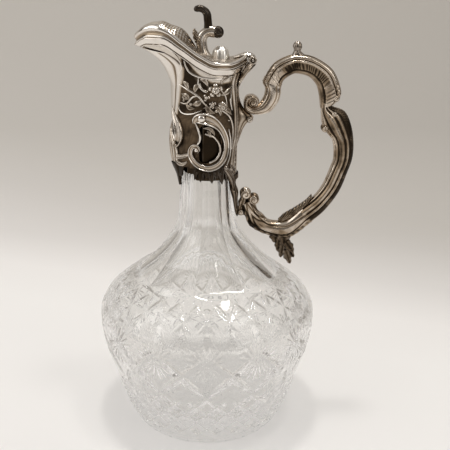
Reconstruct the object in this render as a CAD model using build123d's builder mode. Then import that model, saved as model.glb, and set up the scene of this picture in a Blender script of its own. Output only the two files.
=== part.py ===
"""Claret jug: a cut-glass body in a silvered mount with a scrolled handle and a hinged lid.

The origin is the centre of the foot, on the axis of the glass. +Z is up, the spout points
along -X and the handle along +X, so the hinge pin lies along Y. Millimetres.
"""
from build123d import *
import math
import os

os.makedirs("parts", exist_ok=True)

# ---------------------------------------------------------------- glass sizes
# A rise is measured up from the level before it. An inset lies in from the belly's radius,
# and a flare out from the neck's.
foot_radius = 53.5
foot_edge = 1.4                 # bevel round the foot
heel_rise = 16.6
heel_flare = 7.85               # out from the foot
flank_rise = 24.0
flank_inset = 8.0
hip_rise = 22.0
hip_inset = 1.5
belly_rise = 15.0
belly_radius = 76.4
brow_rise = 15.0
brow_inset = 5.3
shoulder_rise = 10.0
shoulder_inset = 16.75
slope_rise = 20.0
slope_flare = 16.8
dip_rise = 10.0
dip_flare = 8.7
throat_rise = 10.0
throat_flare = 3.0
neck_rise = 20.0                # where the throat has become the neck
neck_radius = 19.1
neck_top_radius = 17.4          # inside the mount
bore_radius = 12.4
body_wall = 6.0
base_thickness = 13.0

mitre_count = 14                # pairs of crossing V cuts in each row
mitre_half_angle = 56.0         # between the middle of a cut and its sides
mitre_half_length = 28.0
upper_mitre_drop = 14.9         # the upper row is centred this far below the belly
upper_mitre_depth = 2.0
upper_mitre_lean = 45.0         # off upright
lower_mitre_drop = 48.0
lower_mitre_depth = 1.6
lower_mitre_lean = 40.0

flute_count = 9
flute_end_drop = 2.0            # how far the foot of a flute reaches below its corners
flute_rise = 7.3                # the corners between two flutes lie this far above the shoulder

# ---------------------------------------------------------------- mount sizes
mount_rise = 16.0               # the sleeve starts this far above the neck's foot
sleeve_length = 61.0            # its straight part, below the mouth
nose_reach = 4.5                # the sleeve is fuller in front by this much
sleeve_height = 60.0            # glass inside the mount
cement_gap = 0.8
cement_length = 18.0
sleeve_wall = 1.0
mouth_wall = 1.4
strap_thickness = 1.0
panel_half_width = 14.0
panel_inset = 12.0              # the panel keeps this far in front of the axis
band_relief = 0.6
band_height = 4.6
cartouche_relief = 2.2
scroll_relief = 1.6
spray_relief = 1.5

# ---------------------------------------------------------------- lid and hinge sizes
lid_clearance = 0.3             # between the rim of the mouth and the lid
lid_front = 28.2                # the lid's reach past the sleeve
lid_back = 7.2
lid_side = 2.9
lid_pinch = 0.05
lid_edge_width = 3.2
lid_bezel_height = 1.5          # the recessed foot of the edge moulding
lid_bezel_inset = 1.2
lid_plate_rise = 1.7            # the plate's underside above the foot of the lid
lid_plate_thickness = 1.4
barrel_radius = 2.6
barrel_half_length = 8.0
barrel_clearance = 0.35
lid_knuckle_half_length = 3.8
knuckle_gap = 0.3
pin_radius = 1.0
pin_clearance = 0.04
pin_end = 0.6                   # the pin stands out of the barrel at each end
rivet_x = -1.5
rivet_radius = 1.6
rivet_head_radius = 3.0
rivet_head_height = 0.9
rivet_depth = 5.0
rivet_clearance = 0.05
thumb_thickness = 6.0
thumb_roll_x = 5.4
thumb_roll_rise = 33.0          # above the foot of the mouth
thumb_roll_radius = 2.7

# ---------------------------------------------------------------- handle sizes
handle_thickness = 10.5         # across the handle, along Y
leaf_thickness = 7.0
curl_radius = 3.3
volute_radius = 5.2

# ---------------------------------------------------------------- places that follow
heel_height = foot_edge + heel_rise
flank_height = heel_height + flank_rise
hip_height = flank_height + hip_rise
belly_height = hip_height + belly_rise
brow_height = belly_height + brow_rise
shoulder_height = brow_height + shoulder_rise
flute_start = shoulder_height + flute_rise
slope_height = shoulder_height + slope_rise
dip_height = slope_height + dip_rise
throat_height = dip_height + throat_rise
neck_height = throat_height + neck_rise
mount_base = neck_height + mount_rise
mouth_base = mount_base + sleeve_length
glass_top = mount_base + sleeve_height
sleeve_inner = neck_top_radius + cement_gap
sleeve_outer = sleeve_inner + sleeve_wall
strap_face = sleeve_outer + strap_thickness
reach_all = 60.0                # long enough to pass right through the mount


def front(distance):
    """X of a point that lies this far out from the sleeve, towards the spout."""
    return -(sleeve_outer + distance)


def back(distance):
    """X of a point that lies this far out from the sleeve, towards the handle."""
    return sleeve_outer + distance


def up(height):
    """Z of a point this far above the foot of the mount."""
    return mount_base + height


def over(height):
    """Z of a point this far above the foot of the mouth."""
    return mouth_base + height


def grip(distance, height):
    """A point of the handle, from the strap's face and the foot of the mount."""
    return (strap_face + distance, mount_base + height)


# ---------------------------------------------------------------- the mount's forms
# Level above the foot of the mouth, then how far the mouth stands out from the sleeve
# at the front, the back and the sides, and how much its front is pinched into a spout.
MOUTH_LEVELS = [
    (0.0, nose_reach, 0.0, 0.0, 0.00),
    (9.0, 7.4, 3.0, 0.8, 0.06),
    (16.0, 12.0, 7.2, 1.5, 0.18),
    (22.0, 20.0, 11.4, 2.0, 0.36),
    (27.0, 31.0, 14.6, 2.4, 0.50),
    (34.0, 46.0, 18.6, 2.7, 0.62),
]
EGG_POINTS = 24


def egg(front_reach, back_reach, half_width, pinch):
    """Closed outline of the mouth seen from above, round at the back, drawn out in front."""
    points = []
    for step in range(EGG_POINTS):
        turn = 2 * math.pi * step / EGG_POINTS
        along, across = math.cos(turn), math.sin(turn)
        if along >= 0:
            points.append((back_reach * along, half_width * across))
        else:
            narrowing = 1 - pinch * along * along
            points.append((front_reach * along, half_width * across * narrowing))
    return points


def mouth_form(grow):
    """The solid form of the mouth and spout, grown outwards by a thickness."""
    with BuildPart() as form:
        for level, ahead, behind, aside, pinch in MOUTH_LEVELS:
            points = egg(sleeve_outer + ahead + grow, sleeve_outer + behind + grow,
                         sleeve_outer + aside + grow, pinch)
            with BuildSketch(Plane.XY.offset(over(level))):
                with BuildLine():
                    Spline(*points, periodic=True)
                make_face()
        loft()
    return form.part


def sleeve_layer(inner, outer, low, high):
    """A skin round the straight sleeve, between two distances out from its face."""
    with BuildPart() as layer:
        with BuildSketch(Plane.XY.offset(up(low))):
            Circle(sleeve_outer + outer)
            Circle(sleeve_outer + inner, mode=Mode.SUBTRACT)
        extrude(amount=high - low)
    return layer.part


# The rim of the mouth is a saddle.
RIM = [
    (front(33.0), over(21.0)),
    (front(27.1), over(26.0)),
    (front(19.0), over(30.4)),
    (front(10.0), over(30.5)),
    (front(-2.0), over(24.2)),
    (-4.7, over(16.0)),
    (5.0, over(11.9)),
    (14.0, over(11.4)),
    (back(4.8), over(14.0)),
    (back(16.0), over(20.5)),
]
# The crest of the lid's edge moulding over the same line.
CREST = [
    (front(33.0), over(23.0)),
    (front(27.4), over(33.0)),
    (front(22.0), over(37.0)),
    (front(15.0), over(38.6)),
    (front(6.5), over(35.8)),
    (front(-2.0), over(29.6)),
    (-4.7, over(20.8)),
    (5.0, over(16.5)),
    (14.0, over(16.0)),
    (back(4.8), over(18.8)),
    (back(16.0), over(25.5)),
]


def shifted(points, rise):
    """The same points, moved up."""
    return [(x, z + rise) for x, z in points]


def side_strip(lower, upper):
    """A slab through the jug along Y, between two curves seen from the side."""
    with BuildPart() as strip:
        with BuildSketch(Plane.XZ):
            with BuildLine():
                low = Spline(*lower)
                high = Spline(*upper)
                Line(low @ 0, high @ 0)
                Line(low @ 1, high @ 1)
            make_face()
        extrude(amount=reach_all, both=True)
    return strip.part


def height_on(points, x):
    """Z of the curve through these points at an X."""
    with BuildLine() as line:
        curve = Spline(*points)
    low, high = 0.0, 1.0
    for _ in range(40):
        middle = (low + high) / 2
        if (curve @ middle).X < x:
            low = middle
        else:
            high = middle
    return (curve @ low).Y


# ---------------------------------------------------------------- glass
with BuildLine() as outline:
    outer_curve = Spline(
        (foot_radius, foot_edge),
        (foot_radius + heel_flare, heel_height),
        (belly_radius - flank_inset, flank_height),
        (belly_radius - hip_inset, hip_height),
        (belly_radius, belly_height),
        (belly_radius - brow_inset, brow_height),
        (belly_radius - shoulder_inset, shoulder_height),
        (neck_radius + slope_flare, slope_height),
        (neck_radius + dip_flare, dip_height),
        (neck_radius + throat_flare, throat_height),
        (neck_radius, neck_height),
        (neck_top_radius, mount_base),
        tangents=[(0.5, 1), (0, 1)],
    )


def position_at(height):
    """Place along the outer glass curve of a height between the foot and the mount."""
    low, high = 0.0, 1.0
    for _ in range(40):
        middle = (low + high) / 2
        if (outer_curve @ middle).Y < height:
            low = middle
        else:
            high = middle
    return low


def curve_at(height):
    """Radius of the outer glass at a height between the foot and the mount."""
    return (outer_curve @ position_at(height)).X


def inside_of(position, wall):
    """The point that lies one wall thickness inside the outer glass."""
    point = outer_curve @ position
    along = outer_curve % position
    return (point.X - wall * along.Y, point.Y + wall * along.X)


cavity_points = [inside_of(step / 20, body_wall) for step in range(2, 15)]

with BuildPart() as glass_blank:
    with BuildSketch(Plane.XZ):
        with BuildLine():
            add(outer_curve)
            Line((neck_top_radius, mount_base), (neck_top_radius, glass_top))
            Line((neck_top_radius, glass_top), (bore_radius, glass_top))
            Line((bore_radius, glass_top), (bore_radius, neck_height))
            cavity = Spline((bore_radius, neck_height), *reversed(cavity_points),
                            (cavity_points[0][0] - 12, base_thickness),
                            tangents=[(0, -1), (-1, -0.05)])
            Line(cavity @ 1, (0, base_thickness))
            Polyline((0, base_thickness), (0, 0), (foot_radius - foot_edge, 0),
                     (foot_radius, foot_edge))
        make_face()
    revolve(axis=Axis.Z)

flat_share = math.cos(math.pi / flute_count)    # a flat between two corners lies this far in
flute_levels = [flute_start, flute_start + 3.2, slope_height, dip_height, throat_height, neck_height]
with BuildPart() as flute_cutter:
    with BuildSketch(Plane.XZ):
        with BuildLine():
            floor = Spline(*[(curve_at(level) * flat_share, level) for level in flute_levels],
                           (neck_top_radius * flat_share, mount_base),
                           (neck_top_radius * flat_share, glass_top + 2))
            step_out = curve_at(flute_start - flute_end_drop)
            Polyline(floor @ 0, (step_out, flute_start - flute_end_drop),
                     (step_out + 12, flute_start - flute_end_drop - 4),
                     (step_out + 12, glass_top + 2), floor @ 1)
        make_face()
    extrude(amount=step_out * math.tan(math.pi / flute_count) + 1, both=True)



def mitre_pair(height, depth, lean):
    """Two crossing V-shaped prisms that touch the glass at the handle's side."""
    place = position_at(height)
    point, slope = outer_curve @ place, outer_curve % place
    outwards = Vector(slope.Y, 0, -slope.X)
    upwards = Vector(slope.X, 0, slope.Y)
    half_width = math.tan(math.radians(mitre_half_angle))
    with BuildPart() as pair:
        for side in (-1, 1):
            turn = side * math.radians(lean)
            along = upwards * math.cos(turn) + Vector(0, 1, 0) * math.sin(turn)
            section = Plane(origin=(point.X, 0, point.Y), x_dir=outwards.cross(along), z_dir=along)
            with BuildSketch(section):
                with BuildLine():
                    Polyline((0, -depth), (3 * depth * half_width, 2 * depth),
                             (-3 * depth * half_width, 2 * depth), close=True)
                make_face()
            extrude(amount=mitre_half_length, both=True)
    return pair.part


upper_mitres = mitre_pair(belly_height - upper_mitre_drop, upper_mitre_depth, upper_mitre_lean)
lower_mitres = mitre_pair(belly_height - lower_mitre_drop, lower_mitre_depth, lower_mitre_lean)

with BuildPart() as glass_body:
    add(glass_blank.part)
    with PolarLocations(0, flute_count):
        add(flute_cutter.part, mode=Mode.SUBTRACT)
    with PolarLocations(0, mitre_count):
        add(upper_mitres, mode=Mode.SUBTRACT)
        add(lower_mitres, mode=Mode.SUBTRACT)
glass_body.part.label = "glass_body"

with BuildPart() as neck_cement:
    with BuildSketch(Plane.XY.offset(glass_top - 2 - cement_length)):
        Circle(sleeve_inner)
        Circle(bore_radius + 1, mode=Mode.SUBTRACT)
    extrude(amount=cement_length)
    add(glass_body.part, mode=Mode.SUBTRACT)
neck_cement.part.label = "neck_cement"

# ---------------------------------------------------------------- sleeve with its windows
window_centre = (1.5, up(25.0))
window_width = 15.0
window_height = 26.0
window_left = window_centre[0] - window_width / 2
window_right = window_centre[0] + window_width / 2
window_top = window_centre[1] + window_height / 2
window_bottom = window_centre[1] - window_height / 2

with BuildPart() as window_cutter:
    with BuildSketch(Plane.XZ):
        with BuildLine():
            Line((window_left, window_bottom + 3), (window_left, window_top - 3))
            Spline((window_left, window_top - 3), (window_centre[0] - 1, window_top),
                   (window_right, window_centre[1]), (window_centre[0] - 1, window_bottom),
                   (window_left, window_bottom + 3))
        make_face()
    extrude(amount=reach_all, both=True)

with BuildPart() as collar_sleeve:
    with BuildSketch(Plane.XY.offset(mount_base)):
        Circle(sleeve_outer)
        Circle(sleeve_inner, mode=Mode.SUBTRACT)
    extrude(amount=sleeve_length)
    add(window_cutter.part, mode=Mode.SUBTRACT)
collar_sleeve.part.label = "collar_sleeve"

# ---------------------------------------------------------------- mouth and its band
hinge_x = back(9.7)
hinge_z = over(16.1)
hinge_plane = Plane(origin=(hinge_x, 0, hinge_z), x_dir=(1, 0, 0), z_dir=(0, -1, 0))
with BuildPart() as barrel_room:
    with BuildSketch(hinge_plane):
        Circle(barrel_radius + barrel_clearance)
    extrude(amount=barrel_half_length + barrel_clearance, both=True)

mouth_outside = mouth_form(0)
with BuildPart() as mouth:
    add(mouth_outside)
    add(mouth_form(-mouth_wall), mode=Mode.SUBTRACT)
    add(side_strip(shifted(RIM, -reach_all), RIM), mode=Mode.INTERSECT)
    add(barrel_room.part, mode=Mode.SUBTRACT)
mouth.part.label = "mouth"

with BuildPart() as rim_band:
    add(mouth_form(band_relief))
    add(mouth_outside, mode=Mode.SUBTRACT)
    add(side_strip(shifted(RIM, -band_height), RIM), mode=Mode.INTERSECT)
    add(barrel_room.part, mode=Mode.SUBTRACT)
rim_band.part.label = "rim_band"

# ---------------------------------------------------------------- relief on the sides
cartouche_layer = sleeve_layer(0, cartouche_relief, 0, sleeve_length)
scroll_layer = sleeve_layer(0, scroll_relief, 0, sleeve_length)
spray_layer = sleeve_layer(0, spray_relief, 0, sleeve_length)
cartouche_width = 3.6
inner_scroll_width = 1.6
front_scroll_width = 2.8

with BuildPart() as cartouche_left:
    with BuildSketch(Plane.XZ):
        with BuildLine():
            Spline((-8.6, up(36.0)), (-5.0, up(40.5)), (2.0, up(41.6)), (8.6, up(37.0)),
                   (11.6, up(27.0)), (9.4, up(16.0)), (2.5, up(9.9)), (-4.6, up(10.4)),
                   (-9.6, up(15.0)), (-10.2, up(20.0)))
        trace(line_width=cartouche_width)
        with Locations((-8.8, up(21.6))):
            Circle(2.6)
    extrude(amount=reach_all)
    add(cartouche_layer, mode=Mode.INTERSECT)
cartouche_left.part.label = "cartouche_left"

with BuildPart() as window_scroll_left:
    with BuildSketch(Plane.XZ):
        with BuildLine():
            Spline((2.2, up(33.0)), (6.6, up(31.0)), (8.4, up(24.0)), (6.2, up(16.6)),
                   (0.5, up(13.8)), (-5.0, up(16.8)))
        trace(line_width=inner_scroll_width)
        with Locations((2.2, up(33.4))):
            Circle(1.7)
    extrude(amount=reach_all)
    add(scroll_layer, mode=Mode.INTERSECT)
    add(cartouche_left.part, mode=Mode.SUBTRACT)
window_scroll_left.part.label = "window_scroll_left"

with BuildPart() as front_scroll_left:
    with BuildSketch(Plane.XZ):
        with BuildLine():
            Spline((front(0.5), up(39.0)), (front(-2.8), up(36.0)), (front(-4.6), up(29.0)),
                   (front(-4.4), up(24.0)), (front(-1.6), up(21.0)))
        trace(line_width=front_scroll_width)
    extrude(amount=reach_all)
    add(scroll_layer, mode=Mode.INTERSECT)
front_scroll_left.part.label = "front_scroll_left"

with BuildPart() as flower_spray_left:
    with BuildSketch(Plane.XZ):
        with BuildLine():
            Spline((-15.0, up(60.0)), (-8.0, up(54.0)), (0.0, up(51.0)))
        trace(line_width=2.6)
        with BuildLine():
            Spline((-15.0, up(46.0)), (-10.0, up(51.0)), (-6.0, up(53.0)))
        trace(line_width=2.4)
        with Locations((3.4, up(60.5)), (5.6, up(54.0)), (0.8, up(50.6))):
            Circle(3.7)
        with BuildLine():
            Spline((1.5, up(50.0)), (8.0, up(46.6)), (13.0, up(44.0)))
        trace(line_width=2.6)
    extrude(amount=reach_all)
    add(spray_layer, mode=Mode.INTERSECT)
    add(cartouche_left.part, mode=Mode.SUBTRACT)
flower_spray_left.part.label = "flower_spray_left"

with BuildPart() as cartouche_right:
    mirror(cartouche_left.part, about=Plane.XZ)
cartouche_right.part.label = "cartouche_right"

with BuildPart() as window_scroll_right:
    mirror(window_scroll_left.part, about=Plane.XZ)
window_scroll_right.part.label = "window_scroll_right"

with BuildPart() as front_scroll_right:
    mirror(front_scroll_left.part, about=Plane.XZ)
front_scroll_right.part.label = "front_scroll_right"

with BuildPart() as flower_spray_right:
    mirror(flower_spray_left.part, about=Plane.XZ)
flower_spray_right.part.label = "flower_spray_right"

# ---------------------------------------------------------------- front panel, shell and drop
panel_bottom = 38.0
with BuildPart() as spout_panel:
    with BuildSketch(Plane.XY.offset(up(panel_bottom))):
        Ellipse(sleeve_outer + nose_reach, panel_half_width)
        with Locations((reach_all / 2 - panel_inset, 0)):
            Rectangle(reach_all, reach_all, mode=Mode.SUBTRACT)
        Circle(sleeve_outer, mode=Mode.SUBTRACT)
    extrude(amount=sleeve_length - panel_bottom)
    add(front_scroll_left.part, mode=Mode.SUBTRACT)
    add(front_scroll_right.part, mode=Mode.SUBTRACT)
spout_panel.part.label = "spout_panel"

# Level above the foot of the mount, reach past the sleeve and half width of the shell.
SHELL_LEVELS = [
    (panel_bottom, 4.6, 9.0),
    (28.0, 7.0, 12.0),
    (20.0, 7.4, 13.0),
    (12.0, 6.2, 12.0),
    (5.0, 3.8, 9.5),
    (0.0, 1.4, 6.5),
]
with BuildPart() as front_shell:
    for level, ahead, half_width in SHELL_LEVELS:
        with BuildSketch(Plane.XY.offset(up(level))):
            Ellipse(sleeve_outer + ahead, half_width)
            with Locations((reach_all / 2 - panel_inset, 0)):
                Rectangle(reach_all, reach_all, mode=Mode.SUBTRACT)
    loft()
    with BuildSketch(Plane.XY.offset(mount_base - 1)):
        Circle(sleeve_outer)
    extrude(amount=sleeve_length, mode=Mode.SUBTRACT)
    add(front_scroll_left.part, mode=Mode.SUBTRACT)
    add(front_scroll_right.part, mode=Mode.SUBTRACT)
front_shell.part.label = "front_shell"

pendant_half_width = 3.0
with BuildPart() as front_pendant:
    with BuildSketch(Plane.XZ):
        with BuildLine():
            Polyline((front(0), up(0)), (front(1.4), up(0)), (front(-0.4), up(-6.5)),
                     (front(-1.2), up(-6.5)), (front(-1.0), up(-1.0)), close=True)
        make_face()
    extrude(amount=pendant_half_width, both=True)
    with BuildSketch(Plane.XY.offset(up(-reach_all / 2))):
        Circle(sleeve_outer)
    extrude(amount=reach_all, mode=Mode.SUBTRACT)
front_pendant.part.label = "front_pendant"

lobe_count = 24
lobe_drop = 4.4
lobe_gap = 2.6
with BuildPart() as lobe_cutter:
    with BuildSketch(Plane.XZ):
        with Locations((0, mount_base - lobe_drop)):
            Rectangle(lobe_gap, lobe_gap, rotation=45)
    extrude(amount=reach_all)

with BuildPart() as skirt_lobes:
    with BuildSketch(Plane.XY.offset(mount_base)):
        Circle(sleeve_outer)
        Circle(sleeve_inner, mode=Mode.SUBTRACT)
    extrude(amount=-lobe_drop)
    with PolarLocations(0, lobe_count):
        add(lobe_cutter.part, mode=Mode.SUBTRACT)
skirt_lobes.part.label = "skirt_lobes"

# ---------------------------------------------------------------- strap on the back
strap_edge = 13.6
with BuildPart() as back_strap:
    with BuildSketch(Plane.XY.offset(mount_base)):
        Circle(strap_face)
        Circle(sleeve_outer, mode=Mode.SUBTRACT)
        with Locations((strap_edge - reach_all / 2, 0)):
            Rectangle(reach_all, reach_all, mode=Mode.SUBTRACT)
    extrude(amount=sleeve_length)
back_strap.part.label = "back_strap"

toe_half_width = 8.0
toe_thickness = 2.6
toe_sink = 2.0                  # its sections are centred this far inside the glass
toe_levels = [0.0, -8.0, -16.0, -23.0, -29.0]
toe_shares = [1.0, 0.9, 0.85, 0.8, 0.35]
with BuildPart() as strap_toe:
    for level, share in zip(toe_levels, toe_shares):
        with BuildSketch(Plane.XY.offset(up(level))):
            with Locations((curve_at(up(level) - 0.01) - toe_sink, 0)):
                Ellipse(toe_thickness + toe_sink, toe_half_width * share)
    loft()
    with BuildSketch(Plane.XY.offset(mount_base - reach_all)):
        Circle(bore_radius + 1)
    extrude(amount=reach_all, mode=Mode.SUBTRACT)
    add(glass_blank.part, mode=Mode.SUBTRACT)
    add(skirt_lobes.part, mode=Mode.SUBTRACT)
strap_toe.part.label = "strap_toe"

# ---------------------------------------------------------------- handle


def section_plane(outer, inner):
    """The plane of a handle section whose two edges, seen from the side, are these points."""
    across = Vector(outer[0] - inner[0], 0, outer[1] - inner[1]).normalized()
    along = across.cross(Vector(0, 1, 0))
    middle = ((outer[0] + inner[0]) / 2, 0, (outer[1] + inner[1]) / 2)
    return Plane(origin=middle, x_dir=across, z_dir=along)


def handle_length(stations, thickness):
    """A length of the handle: oval sections between outer and inner edge points."""
    with BuildPart() as length:
        for outer, inner in stations:
            width = math.dist(outer, inner)
            with BuildSketch(section_plane(outer, inner)):
                Ellipse(width / 2, thickness / 2)
        loft()
    return length.part


ARCH = [
    (grip(15.4, 63.4), grip(28.0, 59.5)),
    (grip(22.4, 74.4), grip(29.8, 64.0)),
    (grip(31.9, 79.7), grip(35.3, 67.6)),
    (grip(39.8, 80.7), grip(39.3, 67.9)),
    (grip(50.3, 78.2), grip(45.8, 66.0)),
    (grip(61.6, 70.4), grip(50.8, 61.0)),
    (grip(67.8, 57.0), grip(53.4, 54.0)),
    (grip(64.3, 49.3), grip(54.2, 47.2)),
]
GRIP = [
    ARCH[-1],
    (grip(71.3, 42.5), grip(55.8, 37.0)),
    (grip(76.8, 31.0), grip(59.3, 28.5)),
    (grip(78.1, 20.0), grip(64.7, 21.0)),
    (grip(77.8, 12.0), grip(65.2, 12.0)),
    (grip(75.3, 2.0), grip(63.0, 4.0)),
    (grip(70.3, -12.0), grip(58.9, -7.0)),
    (grip(61.3, -25.5), grip(52.8, -16.0)),
    (grip(51.2, -35.2), grip(43.3, -24.4)),
]
FOOT = [
    GRIP[-1],
    (grip(37.8, -45.4), grip(33.8, -32.8)),
    (grip(23.4, -44.0), grip(23.6, -33.0)),
    (grip(11.0, -38.3), grip(18.9, -29.2)),
    (grip(5.6, -29.5), grip(15.0, -25.5)),
    (grip(2.6, -22.0), grip(11.6, -18.5)),
]
NECK = [
    ARCH[0],
    (grip(17.4, 59.4), grip(27.9, 55.6)),
    (grip(16.6, 54.6), grip(27.2, 50.6)),
    (grip(14.2, 49.6), grip(21.0, 42.4)),
    (grip(9.6, 47.0), grip(9.0, 41.4)),
]

with BuildPart() as handle_arch:
    add(handle_length(ARCH, handle_thickness))
handle_arch.part.label = "handle_arch"

with BuildPart() as handle_grip:
    add(handle_length(GRIP, handle_thickness))
handle_grip.part.label = "handle_grip"

with BuildPart() as handle_foot:
    add(handle_length(FOOT, handle_thickness))
    add(strap_toe.part, mode=Mode.SUBTRACT)
    add(glass_blank.part, mode=Mode.SUBTRACT)
handle_foot.part.label = "handle_foot"

volute_centre = grip(9.6, 49.2)
with BuildPart() as handle_volute:
    add(handle_length(NECK, handle_thickness))
    with Locations(Pos(volute_centre[0], 0, volute_centre[1])):
        Cylinder(volute_radius, handle_thickness + 1, rotation=(90, 0, 0))
handle_volute.part.label = "handle_volute"

bracket_half_width = 3.2
with BuildPart() as strap_bracket:
    with BuildSketch(Plane.XZ):
        with BuildLine():
            Spline((back(-2.0), up(54.0)), grip(3.4, 43.0), grip(10.4, 39.0))
            Spline(grip(10.4, 39.0), grip(8.0, 35.6), grip(3.4, 31.0), (back(-2.0), up(24.0)))
            Line((back(-2.0), up(24.0)), (back(-2.0), up(54.0)))
        make_face()
    extrude(amount=bracket_half_width, both=True)
    with BuildSketch(Plane.XZ):
        with Locations(grip(6.4, 44.6)):
            Rectangle(6.0, 7.0)
    extrude(amount=bracket_half_width, both=True)
    with BuildSketch(Plane.XY.offset(mount_base)):
        Circle(strap_face)
    extrude(amount=sleeve_length, mode=Mode.SUBTRACT)
    add(handle_volute.part, mode=Mode.SUBTRACT)
strap_bracket.part.label = "strap_bracket"

bud_x, bud_z = grip(38.7, 83.4)
bud_half_height = 4.4
with BuildPart() as handle_bud:
    with BuildSketch(Plane.XZ):
        with Locations((bud_x, bud_z)):
            Ellipse(3.2, bud_half_height)
        with Locations((bud_x - bud_half_height, bud_z)):
            Rectangle(2 * bud_half_height, 2.4 * bud_half_height, mode=Mode.SUBTRACT)
    revolve(axis=Axis((bud_x, 0, 0), (0, 0, 1)))
    add(handle_arch.part, mode=Mode.SUBTRACT)
handle_bud.part.label = "handle_bud"

curl_places = [grip(6.1, -13.8), grip(11.7, -17.5)]
with BuildPart() as handle_curls:
    with Locations(*[Pos(x, 0, z) for x, z in curl_places]):
        Cylinder(curl_radius, handle_thickness * 0.8, rotation=(90, 0, 0))
    add(handle_foot.part, mode=Mode.SUBTRACT)
    add(strap_toe.part, mode=Mode.SUBTRACT)
    add(glass_blank.part, mode=Mode.SUBTRACT)
handle_curls.part.label = "handle_curls"

with BuildPart() as handle_inner_leaf:
    with BuildSketch(Plane.XZ):
        with BuildLine():
            Spline(grip(48.0, -19.0), grip(41.0, -24.0), grip(32.8, -28.6), grip(29.6, -33.4))
            Spline(grip(29.6, -33.4), grip(36.0, -34.5), grip(46.0, -26.0), grip(48.0, -19.0))
        make_face()
    extrude(amount=leaf_thickness / 2, both=True)
    add(handle_grip.part, mode=Mode.SUBTRACT)
    add(handle_foot.part, mode=Mode.SUBTRACT)
handle_inner_leaf.part.label = "handle_inner_leaf"

with BuildPart() as handle_drop_leaf:
    with BuildSketch(Plane.XZ):
        with BuildLine():
            Polyline(grip(23.0, -40.0), grip(26.4, -47.6), grip(27.4, -51.8), grip(30.2, -53.0),
                     grip(30.0, -57.6), grip(31.4, -60.8), grip(34.4, -59.2), grip(37.4, -64.8),
                     grip(39.8, -66.0), grip(40.8, -61.4), grip(42.8, -61.0), grip(42.2, -56.0),
                     grip(39.8, -54.0), grip(39.4, -49.0), grip(43.0, -41.0), close=True)
        make_face()
    extrude(amount=leaf_thickness / 2, both=True)
    add(handle_foot.part, mode=Mode.SUBTRACT)
    add(handle_grip.part, mode=Mode.SUBTRACT)
handle_drop_leaf.part.label = "handle_drop_leaf"

# ---------------------------------------------------------------- hinge
fixed_inner = lid_knuckle_half_length + knuckle_gap
fixed_length = barrel_half_length - fixed_inner

with BuildPart() as hinge_knuckles:
    for side in (-1, 1):
        with BuildSketch(hinge_plane.offset(side * fixed_inner)):
            Circle(barrel_radius)
            with BuildLine():
                Polyline((-8.4, -13.0), (-4.4, -9.0), (-1.0, -5.6), (2.2, -1.4), (-2.3, -1.2),
                         (-5.0, -3.6), (-10.0, -9.0), close=True)
            make_face()
            Circle(pin_radius + pin_clearance, mode=Mode.SUBTRACT)
        extrude(amount=side * fixed_length)
    add(mouth_form(band_relief), mode=Mode.SUBTRACT)
    with BuildSketch(Plane.XY.offset(mount_base)):
        Circle(strap_face)
    extrude(amount=sleeve_length, mode=Mode.SUBTRACT)
hinge_knuckles.part.label = "hinge_knuckles"

with BuildPart() as hinge_pin:
    with BuildSketch(hinge_plane.offset(-barrel_half_length - pin_end)):
        Circle(pin_radius)
    extrude(amount=2 * (barrel_half_length + pin_end))
hinge_pin.part.label = "hinge_pin"

# ---------------------------------------------------------------- lid


def lid_outline(inset):
    """The lid's outline from above, drawn inwards by a distance."""
    return egg(sleeve_outer + lid_front - inset, sleeve_outer + lid_back - inset,
               sleeve_outer + lid_side - inset, lid_pinch)


def lid_prism(inset):
    """The upright prism on the lid's outline, drawn inwards by a distance."""
    with BuildPart() as prism:
        with BuildSketch(Plane.XY.offset(mouth_base)):
            with BuildLine():
                Spline(*lid_outline(inset), periodic=True)
            make_face()
        extrude(amount=reach_all)
    return prism.part


lid_foot = shifted(RIM, lid_clearance)
edge_foot = shifted(lid_foot, lid_bezel_height)
plate_under = shifted(lid_foot, lid_plate_rise)
plate_top = shifted(plate_under, lid_plate_thickness)
lid_inside = lid_prism(lid_edge_width)

with BuildPart() as lid_edge:
    add(lid_prism(0))
    add(side_strip(edge_foot, CREST), mode=Mode.INTERSECT)
    add(lid_inside, mode=Mode.SUBTRACT)
    add(barrel_room.part, mode=Mode.SUBTRACT)
lid_edge.part.label = "lid_edge"

with BuildPart() as lid_bezel:
    add(lid_prism(lid_bezel_inset))
    add(side_strip(lid_foot, edge_foot), mode=Mode.INTERSECT)
    add(lid_inside, mode=Mode.SUBTRACT)
    add(barrel_room.part, mode=Mode.SUBTRACT)
lid_bezel.part.label = "lid_bezel"

with BuildPart() as lid_plate:
    add(lid_inside)
    add(side_strip(plate_under, plate_top), mode=Mode.INTERSECT)
    with BuildSketch(Plane.XY.offset(mouth_base)):
        with Locations((rivet_x, 0)):
            Circle(rivet_radius + rivet_clearance)
    extrude(amount=reach_all, mode=Mode.SUBTRACT)
lid_plate.part.label = "lid_plate"

plate_below = side_strip(shifted(plate_top, -reach_all), plate_top)
# X, half width and height of the shell on the lid.
LID_SHELL = [
    (-39.0, 4.5, over(36.4)),
    (-35.0, 8.5, over(39.4)),
    (-29.0, 11.0, over(40.0)),
    (-21.0, 11.5, over(37.0)),
    (-15.0, 9.5, over(34.2)),
    (-10.0, 6.0, over(28.4)),
]
with BuildPart() as lid_shell:
    for x, half_width, top in LID_SHELL:
        level = height_on(plate_top, x)
        with BuildSketch(Plane(origin=(x, 0, level), x_dir=(0, 1, 0), z_dir=(1, 0, 0))):
            Ellipse(half_width, top - level)
    loft()
    add(plate_below, mode=Mode.SUBTRACT)
lid_shell.part.label = "lid_shell"

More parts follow.
